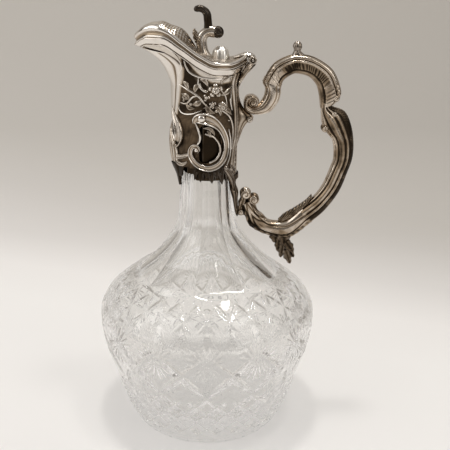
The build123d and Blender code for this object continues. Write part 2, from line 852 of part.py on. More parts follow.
boss_x = 8.7
boss_radius = 5.2
boss_top = over(24.5)
boss_level = height_on(plate_top, boss_x)
with BuildPart() as lid_boss:
    with BuildSketch(Plane.XZ):
        with Locations((boss_x, boss_level)):
            Ellipse(boss_radius, boss_top - boss_level)
        with Locations((boss_x - reach_all / 2, boss_level)):
            Rectangle(reach_all, reach_all, mode=Mode.SUBTRACT)
    revolve(axis=Axis((boss_x, 0, 0), (0, 0, 1)))
    add(plate_below, mode=Mode.SUBTRACT)
lid_boss.part.label = "lid_boss"

with BuildPart() as lid_knuckle:
    with BuildSketch(hinge_plane):
        Circle(barrel_radius)
        with BuildLine():
            Spline((1.2, 2.2), (-3.0, 5.0), (-8.6, 5.2), (-12.6, 2.4))
            Polyline((-12.6, 2.4), (-9.0, 0.4), (0.0, 1.2), (1.2, 2.2))
        make_face()
        Circle(pin_radius + pin_clearance, mode=Mode.SUBTRACT)
    extrude(amount=lid_knuckle_half_length, both=True)
    add(lid_edge.part, mode=Mode.SUBTRACT)
    add(plate_below, mode=Mode.SUBTRACT)
lid_knuckle.part.label = "lid_knuckle"

# ---------------------------------------------------------------- thumbpiece
THUMB_STEM = [
    ((-6.0, over(16.0)), (3.0, over(16.0))),
    ((-5.7, over(22.0)), (-0.7, over(22.0))),
    ((-6.5, over(27.0)), (-1.5, over(27.0))),
    ((-4.9, over(33.6)), (-1.1, over(30.0))),
    ((1.3, over(36.6)), (1.7, over(31.2))),
    ((6.2, over(35.0)), (5.4, over(30.5))),
]
THUMB_STALK = [
    ((3.5, over(34.5)), (-2.5, over(34.5))),
    ((2.4, over(40.0)), (-2.8, over(40.0))),
    ((2.2, over(44.0)), (-2.9, over(44.0))),
    ((0.2, over(48.2)), (-4.0, over(45.2))),
    ((-6.0, over(49.5)), (-6.4, over(45.0))),
]
THUMB_LEAF = [
    ((-6.0, over(24.0)), (-3.4, over(26.5))),
    ((-9.3, over(29.3)), (-6.0, over(31.0))),
    ((-9.6, over(33.2)), (-8.4, over(34.3))),
]
rivet_level = height_on(plate_under, rivet_x)
with BuildPart() as thumbpiece_rivet:
    with BuildSketch(Plane.XY.offset(rivet_level - rivet_depth)):
        with Locations((rivet_x, 0)):
            Circle(rivet_head_radius)
    extrude(amount=2 * rivet_depth)
    add(side_strip(shifted(plate_under, -rivet_head_height), plate_under), mode=Mode.INTERSECT)
    with BuildSketch(Plane.XY.offset(rivet_level)):
        with Locations((rivet_x, 0)):
            Circle(rivet_radius)
    extrude(amount=rivet_depth)
thumbpiece_rivet.part.label = "thumbpiece_rivet"

with BuildPart() as thumbpiece:
    add(handle_length(THUMB_STEM, thumb_thickness))
    add(handle_length(THUMB_STALK, thumb_thickness))
    add(handle_length(THUMB_LEAF, thumb_thickness * 0.7))
    with Locations(Pos(thumb_roll_x, 0, over(thumb_roll_rise))):
        Cylinder(thumb_roll_radius, thumb_thickness + 1, rotation=(90, 0, 0))
    add(plate_below, mode=Mode.SUBTRACT)
    add(thumbpiece_rivet.part, mode=Mode.SUBTRACT)
thumbpiece.part.label = "thumbpiece"

for piece in (glass_body, neck_cement, collar_sleeve, mouth, rim_band, spout_panel,
              cartouche_left, cartouche_right, window_scroll_left, window_scroll_right,
              front_scroll_left, front_scroll_right, flower_spray_left, flower_spray_right,
              front_shell, front_pendant, skirt_lobes, back_strap, strap_toe, strap_bracket,
              handle_volute, handle_arch, handle_grip, handle_foot, handle_bud, handle_curls,
              handle_inner_leaf, handle_drop_leaf, hinge_knuckles, hinge_pin, lid_edge,
              lid_bezel, lid_plate, lid_shell, lid_boss, lid_knuckle, thumbpiece,
              thumbpiece_rivet):
    export_step(piece.part, f"parts/{piece.part.label}.step")
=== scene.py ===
"""Looks of the claret jug: cut glass, chased silver mount, scrolled handle and hinged lid.

Sizes are millimetres until a mesh is made. X runs from the spout (-) to the handle (+), Z is up,
and the side that faces the camera is -Y. The other side of the mount is its mirror image.
"""
import bpy
import math
import numpy as np
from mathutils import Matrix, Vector


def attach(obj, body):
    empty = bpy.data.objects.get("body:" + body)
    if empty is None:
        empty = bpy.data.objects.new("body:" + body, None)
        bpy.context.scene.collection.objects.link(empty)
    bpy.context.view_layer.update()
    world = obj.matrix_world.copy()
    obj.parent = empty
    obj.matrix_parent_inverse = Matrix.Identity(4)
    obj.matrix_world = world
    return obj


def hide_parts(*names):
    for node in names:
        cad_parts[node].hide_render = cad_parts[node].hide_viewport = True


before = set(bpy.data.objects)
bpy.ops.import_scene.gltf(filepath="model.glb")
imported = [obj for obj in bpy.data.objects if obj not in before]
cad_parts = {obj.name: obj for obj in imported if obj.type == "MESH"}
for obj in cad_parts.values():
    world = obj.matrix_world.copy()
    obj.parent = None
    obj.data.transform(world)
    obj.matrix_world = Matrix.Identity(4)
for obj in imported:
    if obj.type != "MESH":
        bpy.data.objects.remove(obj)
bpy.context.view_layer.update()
MM = 0.001
TURN = 2 * math.pi
PHOTO_WIDTH = 450


# ------------------------------------------------------------------ curves through points
def smooth(table):
    """A function through (x, value) pairs that never overshoots them."""
    xs, ys = (np.array(column, float) for column in zip(*table))
    step = np.diff(xs)
    slope = np.diff(ys) / step
    tangent = np.zeros(len(xs))
    same_way = slope[:-1] * slope[1:] > 0
    tangent[1:-1][same_way] = (2 * slope[:-1] * slope[1:])[same_way] / (slope[:-1] + slope[1:])[same_way]
    tangent[0], tangent[-1] = slope[0], slope[-1]

    def value(x):
        x = np.clip(np.asarray(x, float), xs[0], xs[-1])
        k = np.clip(np.searchsorted(xs, x) - 1, 0, len(step) - 1)
        f = (x - xs[k]) / step[k]
        return (ys[k] * (1 + 2 * f) * (1 - f) ** 2 + ys[k + 1] * f * f * (3 - 2 * f)
                + step[k] * (tangent[k] * f * (1 - f) ** 2 + tangent[k + 1] * f * f * (f - 1)))
    return value


def through(points, count):
    """Evenly spaced samples of a rounded line through points of any dimension."""
    points = np.array(points, float)
    reach = np.r_[0, np.cumsum(np.maximum(np.linalg.norm(np.diff(points[:, :2], axis=0), axis=1), 1e-6))]
    padded = np.vstack([2 * points[0] - points[1], points, 2 * points[-1] - points[-2]])
    samples = []
    for s in np.linspace(0, reach[-1], count):
        k = min(int(np.searchsorted(reach, s, side="right")) - 1, len(points) - 2)
        f = (s - reach[k]) / (reach[k + 1] - reach[k])
        a, b, c, d = padded[k:k + 4]
        samples.append(0.5 * (2 * b + (c - a) * f + (2 * a - 5 * b + 4 * c - d) * f * f
                              + (3 * b - a - 3 * c + d) * f ** 3))
    return np.array(samples)


def columns_of(rows):
    """The columns of a table of numbers, each as an upright array."""
    return (np.array(column, float)[:, None] for column in zip(*rows))


def around(count):
    """Angles of evenly spaced places round a circle."""
    return np.linspace(0, TURN, count, endpoint=False)


def down(count):
    """Even shares from 0 to 1 down the rows of a grid."""
    return np.linspace(0, 1, count)[:, None]


def unit(value):
    return np.clip(value, 0, 1)


def ridge_at(u, place, width):
    """1 at a place, falling off smoothly to both sides."""
    return np.exp(-((u - place) / width) ** 2)


def points_of(x, y, z):
    return np.stack(np.broadcast_arrays(x, y, z), -1)


def ring_points(radius, turn, z):
    """Points at a radius from the jug's axis, at a turn about it and at a height."""
    return points_of(radius * np.cos(turn), radius * np.sin(turn), z)


# ------------------------------------------------------------------ meshes from grids of points
def grid(points, wear=0.0, wrap_rows=False, wrap_cols=False, cap=False):
    """One sheet of a piece: points[row, column], and how deep in tarnish each lies (0 to 1); in a few places
    the same number paints shade and highlight.
    """
    points = np.asarray(points, float)
    rows, cols = points.shape[:2]
    wear = np.broadcast_to(np.asarray(wear, float), (rows, cols)).reshape(-1)
    index = np.arange(rows * cols).reshape(rows, cols)
    below = np.roll(index, -1, axis=0) if wrap_rows else index[1:]
    here = index if wrap_rows else index[:-1]
    if wrap_cols:
        quads = np.stack([here, np.roll(here, -1, 1), np.roll(below, -1, 1), below], -1)
    else:
        quads = np.stack([here[:, :-1], here[:, 1:], below[:, 1:], below[:, :-1]], -1)
    faces = [quads.reshape(-1, 4)]
    ends = [index[0][::-1], index[-1]] if cap else []
    return points.reshape(-1, 3), faces, ends, wear


def mirrored(sheet):
    """The same sheet on the far side of the jug."""
    points, faces, ends, wear = sheet
    return points * (1, -1, 1), [f[:, ::-1] for f in faces], [e[::-1] for e in ends], wear


def piece(name, sheets, material, body, nodes=(), thickness=0.0):
    """Makes one object of the jug from its sheets, and hides the CAD parts that it stands for."""
    verts, quads, ends, wears, start = [], [], [], [], 0
    for points, faces, caps, wear in sheets:
        verts.append(points)
        quads += [f + start for f in faces]
        ends += [e + start for e in caps]
        wears.append(wear)
        start += len(points)
    verts, wears = np.vstack(verts) * MM, np.concatenate(wears)
    faces = np.vstack(quads).tolist() + [e.tolist() for e in ends]
    mesh = bpy.data.meshes.new(name)
    mesh.from_pydata(verts.tolist(), [], faces)
    mesh.validate()
    mesh.attributes.new("wear", "FLOAT", "POINT").data.foreach_set("value", wears.astype(np.float32))
    mesh.polygons.foreach_set("use_smooth", [True] * len(mesh.polygons))
    mesh.materials.append(material)
    obj = bpy.data.objects.new(name, mesh)
    bpy.context.scene.collection.objects.link(obj)
    if thickness:
        solid = obj.modifiers.new("wall", "SOLIDIFY")
        solid.thickness = thickness * MM
        solid.offset = -1.0
    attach(obj, body)
    if nodes:
        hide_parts(*nodes)


def both_sides(name, sheets, material, nodes):
    """The near piece and its mirror image on the far side."""
    for side, here in (("_left", sheets), ("_right", [mirrored(sheet) for sheet in sheets])):
        piece(name + side, here, material, "jug", [node_name + side for node_name in nodes])


# ------------------------------------------------------------------ materials
def feed(tree, inputs, values):
    """Links each input to another node's output, or gives it a value of its own."""
    for name, value in values.items():
        if isinstance(value, bpy.types.NodeSocket):
            tree.links.new(value, inputs[name])
        else:
            inputs[name].default_value = value


def node(tree, kind, values, output=0, **settings):
    """Adds a shader node with its inputs fed, and gives back one of its outputs."""
    made = tree.nodes.new("ShaderNode" + kind)
    for name, setting in settings.items():
        setattr(made, name, setting)
    feed(tree, made.inputs, values)
    return made.outputs[output]


def maths(tree, operation, *values, clamp=False):
    return node(tree, "Math", dict(enumerate(values)), operation=operation, use_clamp=clamp)


def ramp(tree, share, stops):
    """Colours along a share from 0 to 1, with the first and the last stop at its ends."""
    made = tree.nodes.new("ShaderNodeValToRGB")
    elements = made.color_ramp.elements
    for place, colour in stops[1:-1]:
        elements.new(place).color = (*colour, 1)
    for end in (0, -1):
        elements[end].color = (*stops[end][1], 1)
    feed(tree, made.inputs, {"Fac": share})
    return made.outputs["Color"]


def material(name):
    """A new material with its node tree, its shader's inputs and the place on the object."""
    mat = bpy.data.materials.new(name)
    mat.use_nodes = True
    tree = mat.node_tree
    return mat, tree, tree.nodes["Principled BSDF"].inputs, node(tree, "TexCoord", {}, "Object")


TARNISH = (0.028, 0.020, 0.013)
BROWNED = (0.42, 0.35, 0.27)    # what half-way tarnish leaves of red, green and blue
GRAIN, STIPPLE_GRAIN = 900.0, 1500.0


def silver(name, clean, roughness, stain, bump, stipple=0.0):
    """Silver plate: bright where it is rubbed, brown-black where tarnish stays."""
    mat, tree, shader, place = material(name)
    wear = node(tree, "Attribute", {}, "Fac", attribute_name="wear")
    clouds = node(tree, "TexNoise", {"Vector": place, "Scale": 95.0, "Detail": 6.0}, "Fac")
    patches = {"Value": clouds, "From Min": 0.48, "From Max": 0.78, "To Max": stain}
    tarnish = maths(tree, "ADD", wear, node(tree, "MapRange", patches, "Result"), clamp=True)
    brown = [tone * left for tone, left in zip(clean, BROWNED)]
    dulling = {"Value": tarnish, "To Min": roughness, "To Max": roughness + 0.3}
    height = node(tree, "TexNoise", {"Vector": place, "Scale": GRAIN, "Detail": 3.0}, "Fac")
    if stipple:
        dots = node(tree, "TexVoronoi", {"Vector": place, "Scale": STIPPLE_GRAIN}, "Distance")
        height = maths(tree, "MULTIPLY_ADD", dots, stipple, height)
    raised = node(tree, "Bump", {"Strength": bump, "Distance": 0.0004, "Height": height}, "Normal")
    feed(tree, shader, {"Base Color": ramp(tree, tarnish, [(0, clean), (0.55, brown), (1, TARNISH)]),
                        "Metallic": 1.0, "Roughness": node(tree, "MapRange", dulling, "Result"),
                        "Normal": raised})
    return mat


def crystal():
    """Clear lead glass: the waviness of hand polishing, and fine facets where the wear says cut."""
    mat, tree, shader, place = material("cut_crystal")
    waves = node(tree, "TexNoise", {"Vector": place, "Scale": 60.0}, "Fac")
    wavy = node(tree, "Bump", {"Strength": 0.05, "Distance": 0.0006, "Height": waves}, "Normal")
    cutting = node(tree, "Attribute", {}, "Fac", attribute_name="wear")
    facets = node(tree, "TexVoronoi", {"Vector": place, "Scale": 520.0}, "Distance")
    sparkle = {"Strength": cutting, "Distance": 0.0007, "Height": facets, "Normal": wavy}
    feed(tree, shader, {"Base Color": (0.94, 0.938, 0.93, 1), "Transmission Weight": 1.0, "Roughness": 0.0,
                        "IOR": 1.54, "Normal": node(tree, "Bump", sparkle, "Normal")})
    return mat


def plaster():
    mat, tree, shader, place = material("white_plaster")
    lumps = node(tree, "TexNoise", {"Vector": place, "Scale": 400.0}, "Fac")
    tint = ramp(tree, lumps, [(0, (.62, .6, .56)), (1, (.8, .79, .76))])
    feed(tree, shader, {"Base Color": tint, "Roughness": 0.8})
    return mat


BRIGHT_SILVER = silver("polished_silver", (0.80, 0.755, 0.70), 0.11, stain=0.12, bump=0.05)
CHASED_SILVER = silver("chased_silver", (0.70, 0.65, 0.59), 0.16, stain=0.4, bump=0.12)
GROUND_SILVER = silver("stippled_ground", (0.36, 0.305, 0.25), 0.26, stain=0.5, bump=0.35, stipple=0.9)
HANDLE_SILVER = silver("handle_silver", (0.72, 0.645, 0.56), 0.15, stain=0.6, bump=0.12)
DARK_SILVER = silver("worn_silver", (0.34, 0.30, 0.26), 0.2, stain=0.7, bump=0.1)
BLACKENED_SILVER = silver("blackened_silver", (0.085, 0.072, 0.06), 0.18, stain=0.7, bump=0.1)
LID_SILVER = silver("lid_silver", (0.70, 0.65, 0.585), 0.16, stain=0.35, bump=0.1)
RUBBED_SILVER = silver("rubbed_silver", (0.92, 0.90, 0.86), 0.3, stain=0.1, bump=0.1)
PIN_METAL = silver("pin_metal", (0.4, 0.37, 0.33), 0.25, stain=0.5, bump=0.2)
# Near-black silver for the sheet inside the sleeve: painted shade.
PAINTED_SHADE_LINING = silver("painted_shade_lining", (0.075, 0.06, 0.045), 0.2, stain=0.6, bump=0.1)
CRYSTAL = crystal()
PLASTER = plaster()

# ------------------------------------------------------------------ the form of the mount
SLEEVE_TOP = 241.0
SLEEVE_WALL, MOUTH_WALL, LID_WALL = 0.9, 1.3, 1.2
front_reach = smooth([(170, 19.2), (180, 19.6), (190, 21.6), (205, 23), (218, 23.5), (241, 23.7),
                      (250, 26.6), (257, 31.2), (263, 39.2), (268, 50.2), (275, 65.2)])
back_reach = smooth([(170, 19.2), (241, 19.2), (250, 22.2), (257, 26.4), (263, 30.6), (268, 33.8),
                     (275, 37.8)])
half_width = smooth([(170, 19.2), (241, 19.2), (250, 20), (257, 20.7), (263, 21.2), (275, 21.9)])
pinch = smooth([(170, 0), (241, 0), (250, .06), (257, .18), (263, .36), (268, .5), (275, .62)])
rim = smooth([(-52.2, 262), (-46.3, 267), (-38.2, 271.4), (-29.2, 271.5), (-17.2, 265.2),
              (-4.7, 257), (5, 252.9), (14, 252.4), (24, 255), (35.2, 261.5)])
crest = smooth([(-52.2, 264), (-46.6, 274), (-41.2, 278), (-34.2, 279.6), (-25.7, 276.8),
                (-17.2, 270.6), (-4.7, 261.8), (5, 257.5), (14, 257), (24, 259.8), (35.2, 266.5)])


def mount_at(turn, z):
    """Points of the mount's face: turn is 0 at the handle, pi at the spout, and -Y lies beyond pi."""
    turn, z = np.broadcast_arrays(np.asarray(turn, float), np.asarray(z, float))
    along, across = np.cos(turn), np.sin(turn)
    ahead = along < 0
    x = np.where(ahead, front_reach(z), back_reach(z)) * along
    y = half_width(z) * across * np.where(ahead, 1 - pinch(z) * along ** 2, 1)
    return np.stack([x, y, z], -1)


def mount_face(turn, z, out=0.0):
    """The same, lifted square off the face by a distance."""
    e = 1e-3
    here = mount_at(turn, z)
    round_it = mount_at(turn + e, z) - mount_at(turn - e, z)
    up_it = mount_at(turn, z + e) - mount_at(turn, z - e)
    normal = np.cross(round_it, up_it)
    normal /= np.linalg.norm(normal, axis=-1, keepdims=True)
    return here + normal * np.asarray(out)[..., None], normal


def turn_at(x, z):
    """Turn of the point of the near side that has this X."""
    reach = np.where(np.asarray(x) < 0, front_reach(z), back_reach(z))
    return TURN - np.arccos(np.clip(np.asarray(x) / reach, -1, 1))


def rim_height(turn, drop=0.0):
    """Height at which the mouth's face meets the rim line, or a line below it."""
    z = np.full(np.shape(turn), 258.0)
    for _ in range(60):
        z = 0.5 * z + 0.5 * (rim(mount_at(turn, z)[..., 0]) - drop)
    return z


def both_ways(half):
    """A cross section from its left half and its middle."""
    return half + [(-place, height, dirt) for place, height, dirt in half[-2::-1]]


# Cross sections of a stroke: place across it (-1 to 1), height (0 to 1) and tarnish.
ROUND = both_ways([(-1, -.5, 1), (-1, 0, .9), (-.92, .45, .35), (-.7, .75, .1), (-.38, .94, 0), (0, 1, 0)])
CHANNEL = both_ways([(-1, -.5, 1), (-1, 0, .9), (-.95, .7, .2), (-.82, 1, 0), (-.66, .9, 0),
                     (-.52, .55, .7), (-.25, .45, .45), (0, .5, .3)])
SCOOP = both_ways([(-1, -.5, 1), (-1, 0, .9), (-.95, .75, .2), (-.85, 1, 0), (-.72, .8, .1),
                   (-.5, .5, .3), (-.2, .4, .12), (0, .38, .05)])
LEAF = both_ways([(-1, -.5, 1), (-1, 0, .9), (-.8, .55, .2), (-.45, .72, .1), (-.16, .5, .8), (0, 1, 0)])
THINNEST, LOWEST = 0.03, 0.02


def stroke(points, section, count):
    """A raised line on the near side of the mount. Points are (x, z, half width, height)."""
    x, z, wide, high = through(points, count).T
    wide, high = np.maximum(wide, THINNEST), np.maximum(high, LOWEST)
    seat, normal = mount_face(turn_at(x, z), z)
    along = np.gradient(seat, axis=0)
    along -= normal * np.sum(along * normal, -1, keepdims=True)
    along /= np.linalg.norm(along, axis=-1, keepdims=True) + 1e-12
    across = np.cross(normal, along)
    place, level, dirt = (np.array(v) for v in zip(*section))
    points = (seat[:, None] + across[:, None] * (wide[:, None] * place)[..., None]
              + normal[:, None] * (high[:, None] * level)[..., None])
    return grid(points, dirt[None, :], cap=True)


def button(x, z, lift, angle, reach, level, dirt):
    """A round form on the near side of the mount, from its middle outwards."""
    seat, normal = mount_face(turn_at(x, z), np.array(float(z)), lift)
    side = np.cross((0, 0, 1.0), normal)
    side /= np.linalg.norm(side)
    top = np.cross(normal, side)
    points = (seat + reach[..., None] * (np.cos(angle)[..., None] * side + np.sin(angle)[..., None] * top)
              + level[..., None] * normal)
    return grid(points[::-1], unit(dirt)[::-1], wrap_cols=True)


BUTTON_SHARES = down(9)


def boss(x, z, radius, height, lift=0.0):
    """A dome on the near side of the mount."""
    share = BUTTON_SHARES
    level = height * (1 - share ** 2.6) - 0.4 * share ** 8
    return button(x, z, lift, around(40)[None, :], radius * share, level, share ** 6)


def petal(x, z, radius, spin):
    """A cupped petal, narrow in the middle, whose length lies along the spin."""
    share, angle = BUTTON_SHARES, around(28)[None, :]
    lobe = np.abs(np.cos(angle - spin)) ** 0.7
    cup = np.sin(math.pi * unit(share * 1.05) ** 0.9) ** 0.7
    level = 0.8 * radius * cup * (0.45 + 0.55 * lobe) - 0.4 * share ** 8
    dirt = 0.75 * ridge_at(share, 0, 0.07) + 0.8 * (1 - lobe) ** 1.5 + share ** 10
    return button(x, z, 0.0, angle, radius * share * (1 - 0.3 * (1 - lobe)), level, dirt)


# ------------------------------------------------------------------ glass
NECK_TOP, BORE = 240.0, 12.4
glass_radius = smooth([(0, 52.4), (1.2, 53.6), (8, 57.3), (18, 61.35), (30, 64.9), (42, 68.4), (54, 72.6),
                       (64, 74.9), (74, 76.3), (79, 76.4), (84, 76.1), (94, 71.1), (104, 59.65),
                       (114, 46.5), (124, 35.9), (134, 27.8), (144, 22.1), (154, 19.8), (164, 19.1),
                       (180, 17.4), (240, 17.4)])
cavity_radius = smooth([(13, .1), (13.4, 34), (14.6, 44), (19, 52), (30, 58.6), (42, 62), (54, 66.2),
                        (64, 68.6), (79, 70.2), (88, 67.5), (98, 60), (108, 47), (118, 34),
                        (128, 23.5), (140, 15.5), (160, 12.4), (240, 12.4)])
FLUTES = 9
FLUTE_TURN = TURN / FLUTES
FLUTE_CORNER, FLUTE_FOOT = 111.3, 109.3


def nearest(turn, period, start=0.0):
    """Signed angle from the nearest of a ring of evenly spaced places."""
    return (turn - start + period / 2) % period - period / 2


def helix(turn, z, count, lean, node_z):
    """Distance from the nearest of a ring of slanting lines that meet those of the other lean at node_z.

    They rise by lean for each degree round.
    """
    off = nearest(turn - math.radians(1) * (z - node_z) / lean, TURN / count)
    steep = math.radians(1) * glass_radius(z) / lean
    return off * glass_radius(z) / np.sqrt(1 + steep ** 2)


def mitre(distance, width, depth):
    """A cut with straight sides: its depth at a distance from its middle."""
    return np.maximum(0, depth * (1 - np.abs(distance) / np.maximum(width, 1e-6)))


def span(z, low, high, power=0.5):
    """1 in the middle of a band of heights, falling to 0 at its ends."""
    f = unit((z - low) / (high - low))
    return (4 * f * (1 - f)) ** power


MITRES = 14
MITRE_TURN = TURN / MITRES
MITRE_LEAN = 1 / 0.756          # millimetres up for each degree round
CROSSINGS = (30.0, 64.1)        # heights at which the cuts of a pair cross
NAIL_LEAN = 1.15                # and of the nail cuts and the lattice
LATTICE_MIDDLE = 99.7
STAR_MIDDLE, STAR_POINTS = 74, 18


def cut_depth(turn, z):
    """How deep the wheel has cut the glass at each place."""
    radius = glass_radius(z)
    depth = np.zeros(np.broadcast(turn, z).shape)
    fan = nearest(turn, MITRE_TURN / 2, MITRE_TURN / 4)
    palm = nearest(turn, MITRE_TURN, MITRE_TURN / 2)
    rows = np.maximum(span(z, 99.9, 107.2), 0.8 * span(z, 93.6, 99.4))
    for way in (-1, 1):
        lattice = helix(turn, z, MITRES * 2, way * NAIL_LEAN, LATTICE_MIDDLE)
        depth = np.maximum(depth, mitre(lattice, 1.5 * rows, 1.2 * rows))
        for crossing, deep, reach in ((CROSSINGS[1], 2.3, 17.0), (CROSSINGS[0], 1.7, 14.5)):
            line = helix(turn, z, MITRES, way * MITRE_LEAN, crossing)
            lens = np.maximum(0, 1 - ((z - crossing) / reach) ** 2)
            depth = np.maximum(depth, deep * lens - np.abs(line) / 1.6)
        nail = helix(turn, z, MITRES * 2, way * NAIL_LEAN, CROSSINGS[0])
        edge = 45 - 9 * np.abs(palm) / MITRE_TURN
        depth = np.maximum(depth, mitre(nail, 2.7 * span(z, 9.0, edge, 0.12), 1.9))
        for blade in (0.5, 1.5, 2.5, 3.5):
            leaf = fan - way * np.radians(blade * (0.5 + (z - 87) * 0.12))
            tall = 97.5 - 0.9 * blade
            depth = np.maximum(depth, mitre(leaf * radius, 0.66 * span(z, 86, tall), 0.75))
    across, above = palm * radius, z - STAR_MIDDLE
    far = np.hypot(across, above)
    star_ray = far * np.abs(np.sin(nearest(np.arctan2(above, across), TURN / STAR_POINTS)))
    depth = np.maximum(depth, mitre(star_ray, 0.95 * span(far, 1.0, 14, 0.6), 0.9))
    foot_ring = mitre(z - 7.4, 1.1, 0.8)
    return np.maximum(depth, foot_ring)


def fine_cutting(z):
    """How thickly the face is covered with fine cuts, too small to be modelled one by one."""
    return (0.28 * unit((z - 8) / 4) * unit((50 - z) / 8)
            + 0.2 * unit((z - 50) / 8) * unit((92 - z) / 6))


def glass_face(turn, z):
    """Radius of the cut and fluted outside."""
    off = nearest(turn, FLUTE_TURN)
    share = math.cos(FLUTE_TURN / 2)
    slope = unit((z - FLUTE_FOOT) / (FLUTE_CORNER - FLUTE_FOOT))
    foot = glass_radius(FLUTE_FOOT)
    floor = foot + (glass_radius(FLUTE_CORNER) * share - foot) * slope
    floor = np.where(z > FLUTE_CORNER, glass_radius(z) * share, floor)
    fluted = np.where(z > FLUTE_FOOT, floor / np.cos(off), 1e3)
    return np.minimum(glass_radius(z) - cut_depth(turn, z), fluted)


GLASS_COLUMNS = 1260
INSIDE_COLUMNS = 144
levels = np.concatenate([np.linspace(0, 1.2, 4)[:-1], np.arange(1.2, 116, 0.5), np.arange(116, 150, 1.0),
                         np.arange(150, NECK_TOP, 4.0), [NECK_TOP]])
turn_grid, level_grid = np.meshgrid(around(GLASS_COLUMNS), levels)
outside = glass_face(turn_grid, level_grid)
outside[0] = glass_radius(0)
outer_skin = ring_points(outside, turn_grid, level_grid)

inner_levels = np.concatenate([[13.0, 13.1, 13.4, 14, 15, 16.5, 18.5], np.arange(21, 160, 2.5),
                               [160, 200, NECK_TOP]])[:, None]
inner_skin = ring_points(cavity_radius(inner_levels), around(INSIDE_COLUMNS), inner_levels)

# The star under the foot: rays cut into a slightly hollow base.
STAR_RAYS, STAR_REACH = 24, 46
star_radius = down(40) * glass_radius(0)
star_turn = around(480)
hollow = 1.4 * unit((STAR_REACH - star_radius) / 6)
rays = mitre(np.abs(nearest(star_turn, TURN / STAR_RAYS)) * star_radius,
             2.6 * span(star_radius, 1, STAR_REACH), 2.4)
star_skin = ring_points(star_radius, star_turn, hollow + rays)
lip_skin = ring_points(np.array([[BORE], [13.4], [16.4]]), around(INSIDE_COLUMNS), NECK_TOP)
piece("cut_glass_body",
      [grid(outer_skin, fine_cutting(level_grid), wrap_cols=True)]
      + [grid(skin[::-1], wrap_cols=True) for skin in (inner_skin, star_skin, lip_skin)],
      CRYSTAL, "jug", ["glass_body"])

# ------------------------------------------------------------------ sleeve and mouth
WINDOW = np.array([(-5.6, 194.5), (-5.6, 214.5), (-3.6, 217.6), (.6, 218), (5.2, 215.2), (8.4, 209.6),
                   (9, 204.5), (7.6, 198.4), (4, 193.8), (-1, 192), (-4, 192.6)])


def inside_outline(x, z, outline):
    """Which points lie inside a closed outline."""
    hit = np.zeros(np.shape(x), bool)
    for (ax, az), (bx, bz) in zip(outline, np.roll(outline, -1, axis=0)):
        crosses = (az > z) != (bz > z)
        with np.errstate(divide="ignore", invalid="ignore"):
            hit ^= crosses & (x < (bx - ax) * (z - az) / (bz - az) + ax)
    return hit


def foot_line(turn):
    """The edge at the foot of the sleeve, which steps up towards the front."""
    along = np.cos(turn)
    return 180.4 + 8.2 * np.exp(-((along + 0.64) / 0.19) ** 4)


def ground(turn, z):
    """Relief of the sleeve's own face: leaf veins chased between the raised work."""
    x = mount_at(turn, z)[..., 0]
    swirl = np.sin(0.55 * x + 0.33 * z + 1.6 * np.sin(0.21 * z - 0.3 * x))
    veins = np.sin(1.9 * x - 1.1 * z + 2.5 * swirl)
    return (0.03 * swirl + 0.02 * veins) * span(z, 182, 254, 0.3)


def ground_dirt(turn, z):
    """Tarnish in the hollows of that relief, paler where a vein stands up."""
    return np.clip(0.7 - 2.0 * ground(turn, z), 0.2, 0.97)


turn_row = around(480)
low = foot_line(turn_row)
sleeve_z = low + (SLEEVE_TOP - low) * down(220)
sleeve_points, _ = mount_face(turn_row, sleeve_z, ground(turn_row, sleeve_z))
sleeve_tarnish_and_dark_reflection = ground_dirt(turn_row, sleeve_z)
# Below 188 mm the foot of the sleeve is darkened further: a painted dark reflection over the tarnish of the
# chasing.
sleeve_tarnish_and_dark_reflection = np.where(sleeve_z < 188, 0.4 * sleeve_tarnish_and_dark_reflection + 0.6, sleeve_tarnish_and_dark_reflection)
sleeve_sheet = grid(sleeve_points, sleeve_tarnish_and_dark_reflection, wrap_cols=True)
quads = sleeve_sheet[1][0]
middle = sleeve_sheet[0][quads].mean(1)
sleeve_sheet[1][0] = quads[~inside_outline(middle[:, 0], middle[:, 2], WINDOW)]
piece("chased_sleeve", [sleeve_sheet], GROUND_SILVER, "jug", ["collar_sleeve", "skirt_lobes"],
      thickness=SLEEVE_WALL)

# A dark sheet that fits the fluted neck inside the sleeve and shows in the windows: painted shade, with
# painted highlights along the flute corners.
lining_z = np.array([183.5, 184.0, 200.0, 220.0, 239.5])[:, None]
lining_turn = around(360)
off_flute = nearest(lining_turn, FLUTE_TURN)
lining_radius = 0.2 + glass_radius(lining_z) * math.cos(FLUTE_TURN / 2) / np.cos(off_flute)
# Less tarnish along the flute corners: a painted highlight.
flute_edge_highlight = ridge_at(np.abs(off_flute), FLUTE_TURN / 2, 0.03)
piece("sleeve_lining_painted_shade", [grid(ring_points(lining_radius, lining_turn, lining_z), 0.6 - 0.6 * flute_edge_highlight, wrap_cols=True)],
      PAINTED_SHADE_LINING, "jug", [])

MOUTH_LAP = 0.4
mouth_top = rim_height(turn_row)
mouth_z = SLEEVE_TOP - MOUTH_LAP + (mouth_top - SLEEVE_TOP + MOUTH_LAP) * down(60)
mouth_points, _ = mount_face(turn_row, mouth_z, ground(turn_row, mouth_z))
mouth_x = mouth_points[..., 0]
below_band = unit((mouth_top - 7.6 - mouth_z) / 1.6) * unit((mouth_x + 17.5) / 1.5)
mouth_dirt = 0.06 + (0.25 + 0.9 * ground_dirt(turn_row, mouth_z)) * below_band
piece("pouring_mouth", [grid(mouth_points, mouth_dirt, wrap_cols=True)], LID_SILVER, "jug", ["mouth"],
      thickness=MOUTH_WALL)

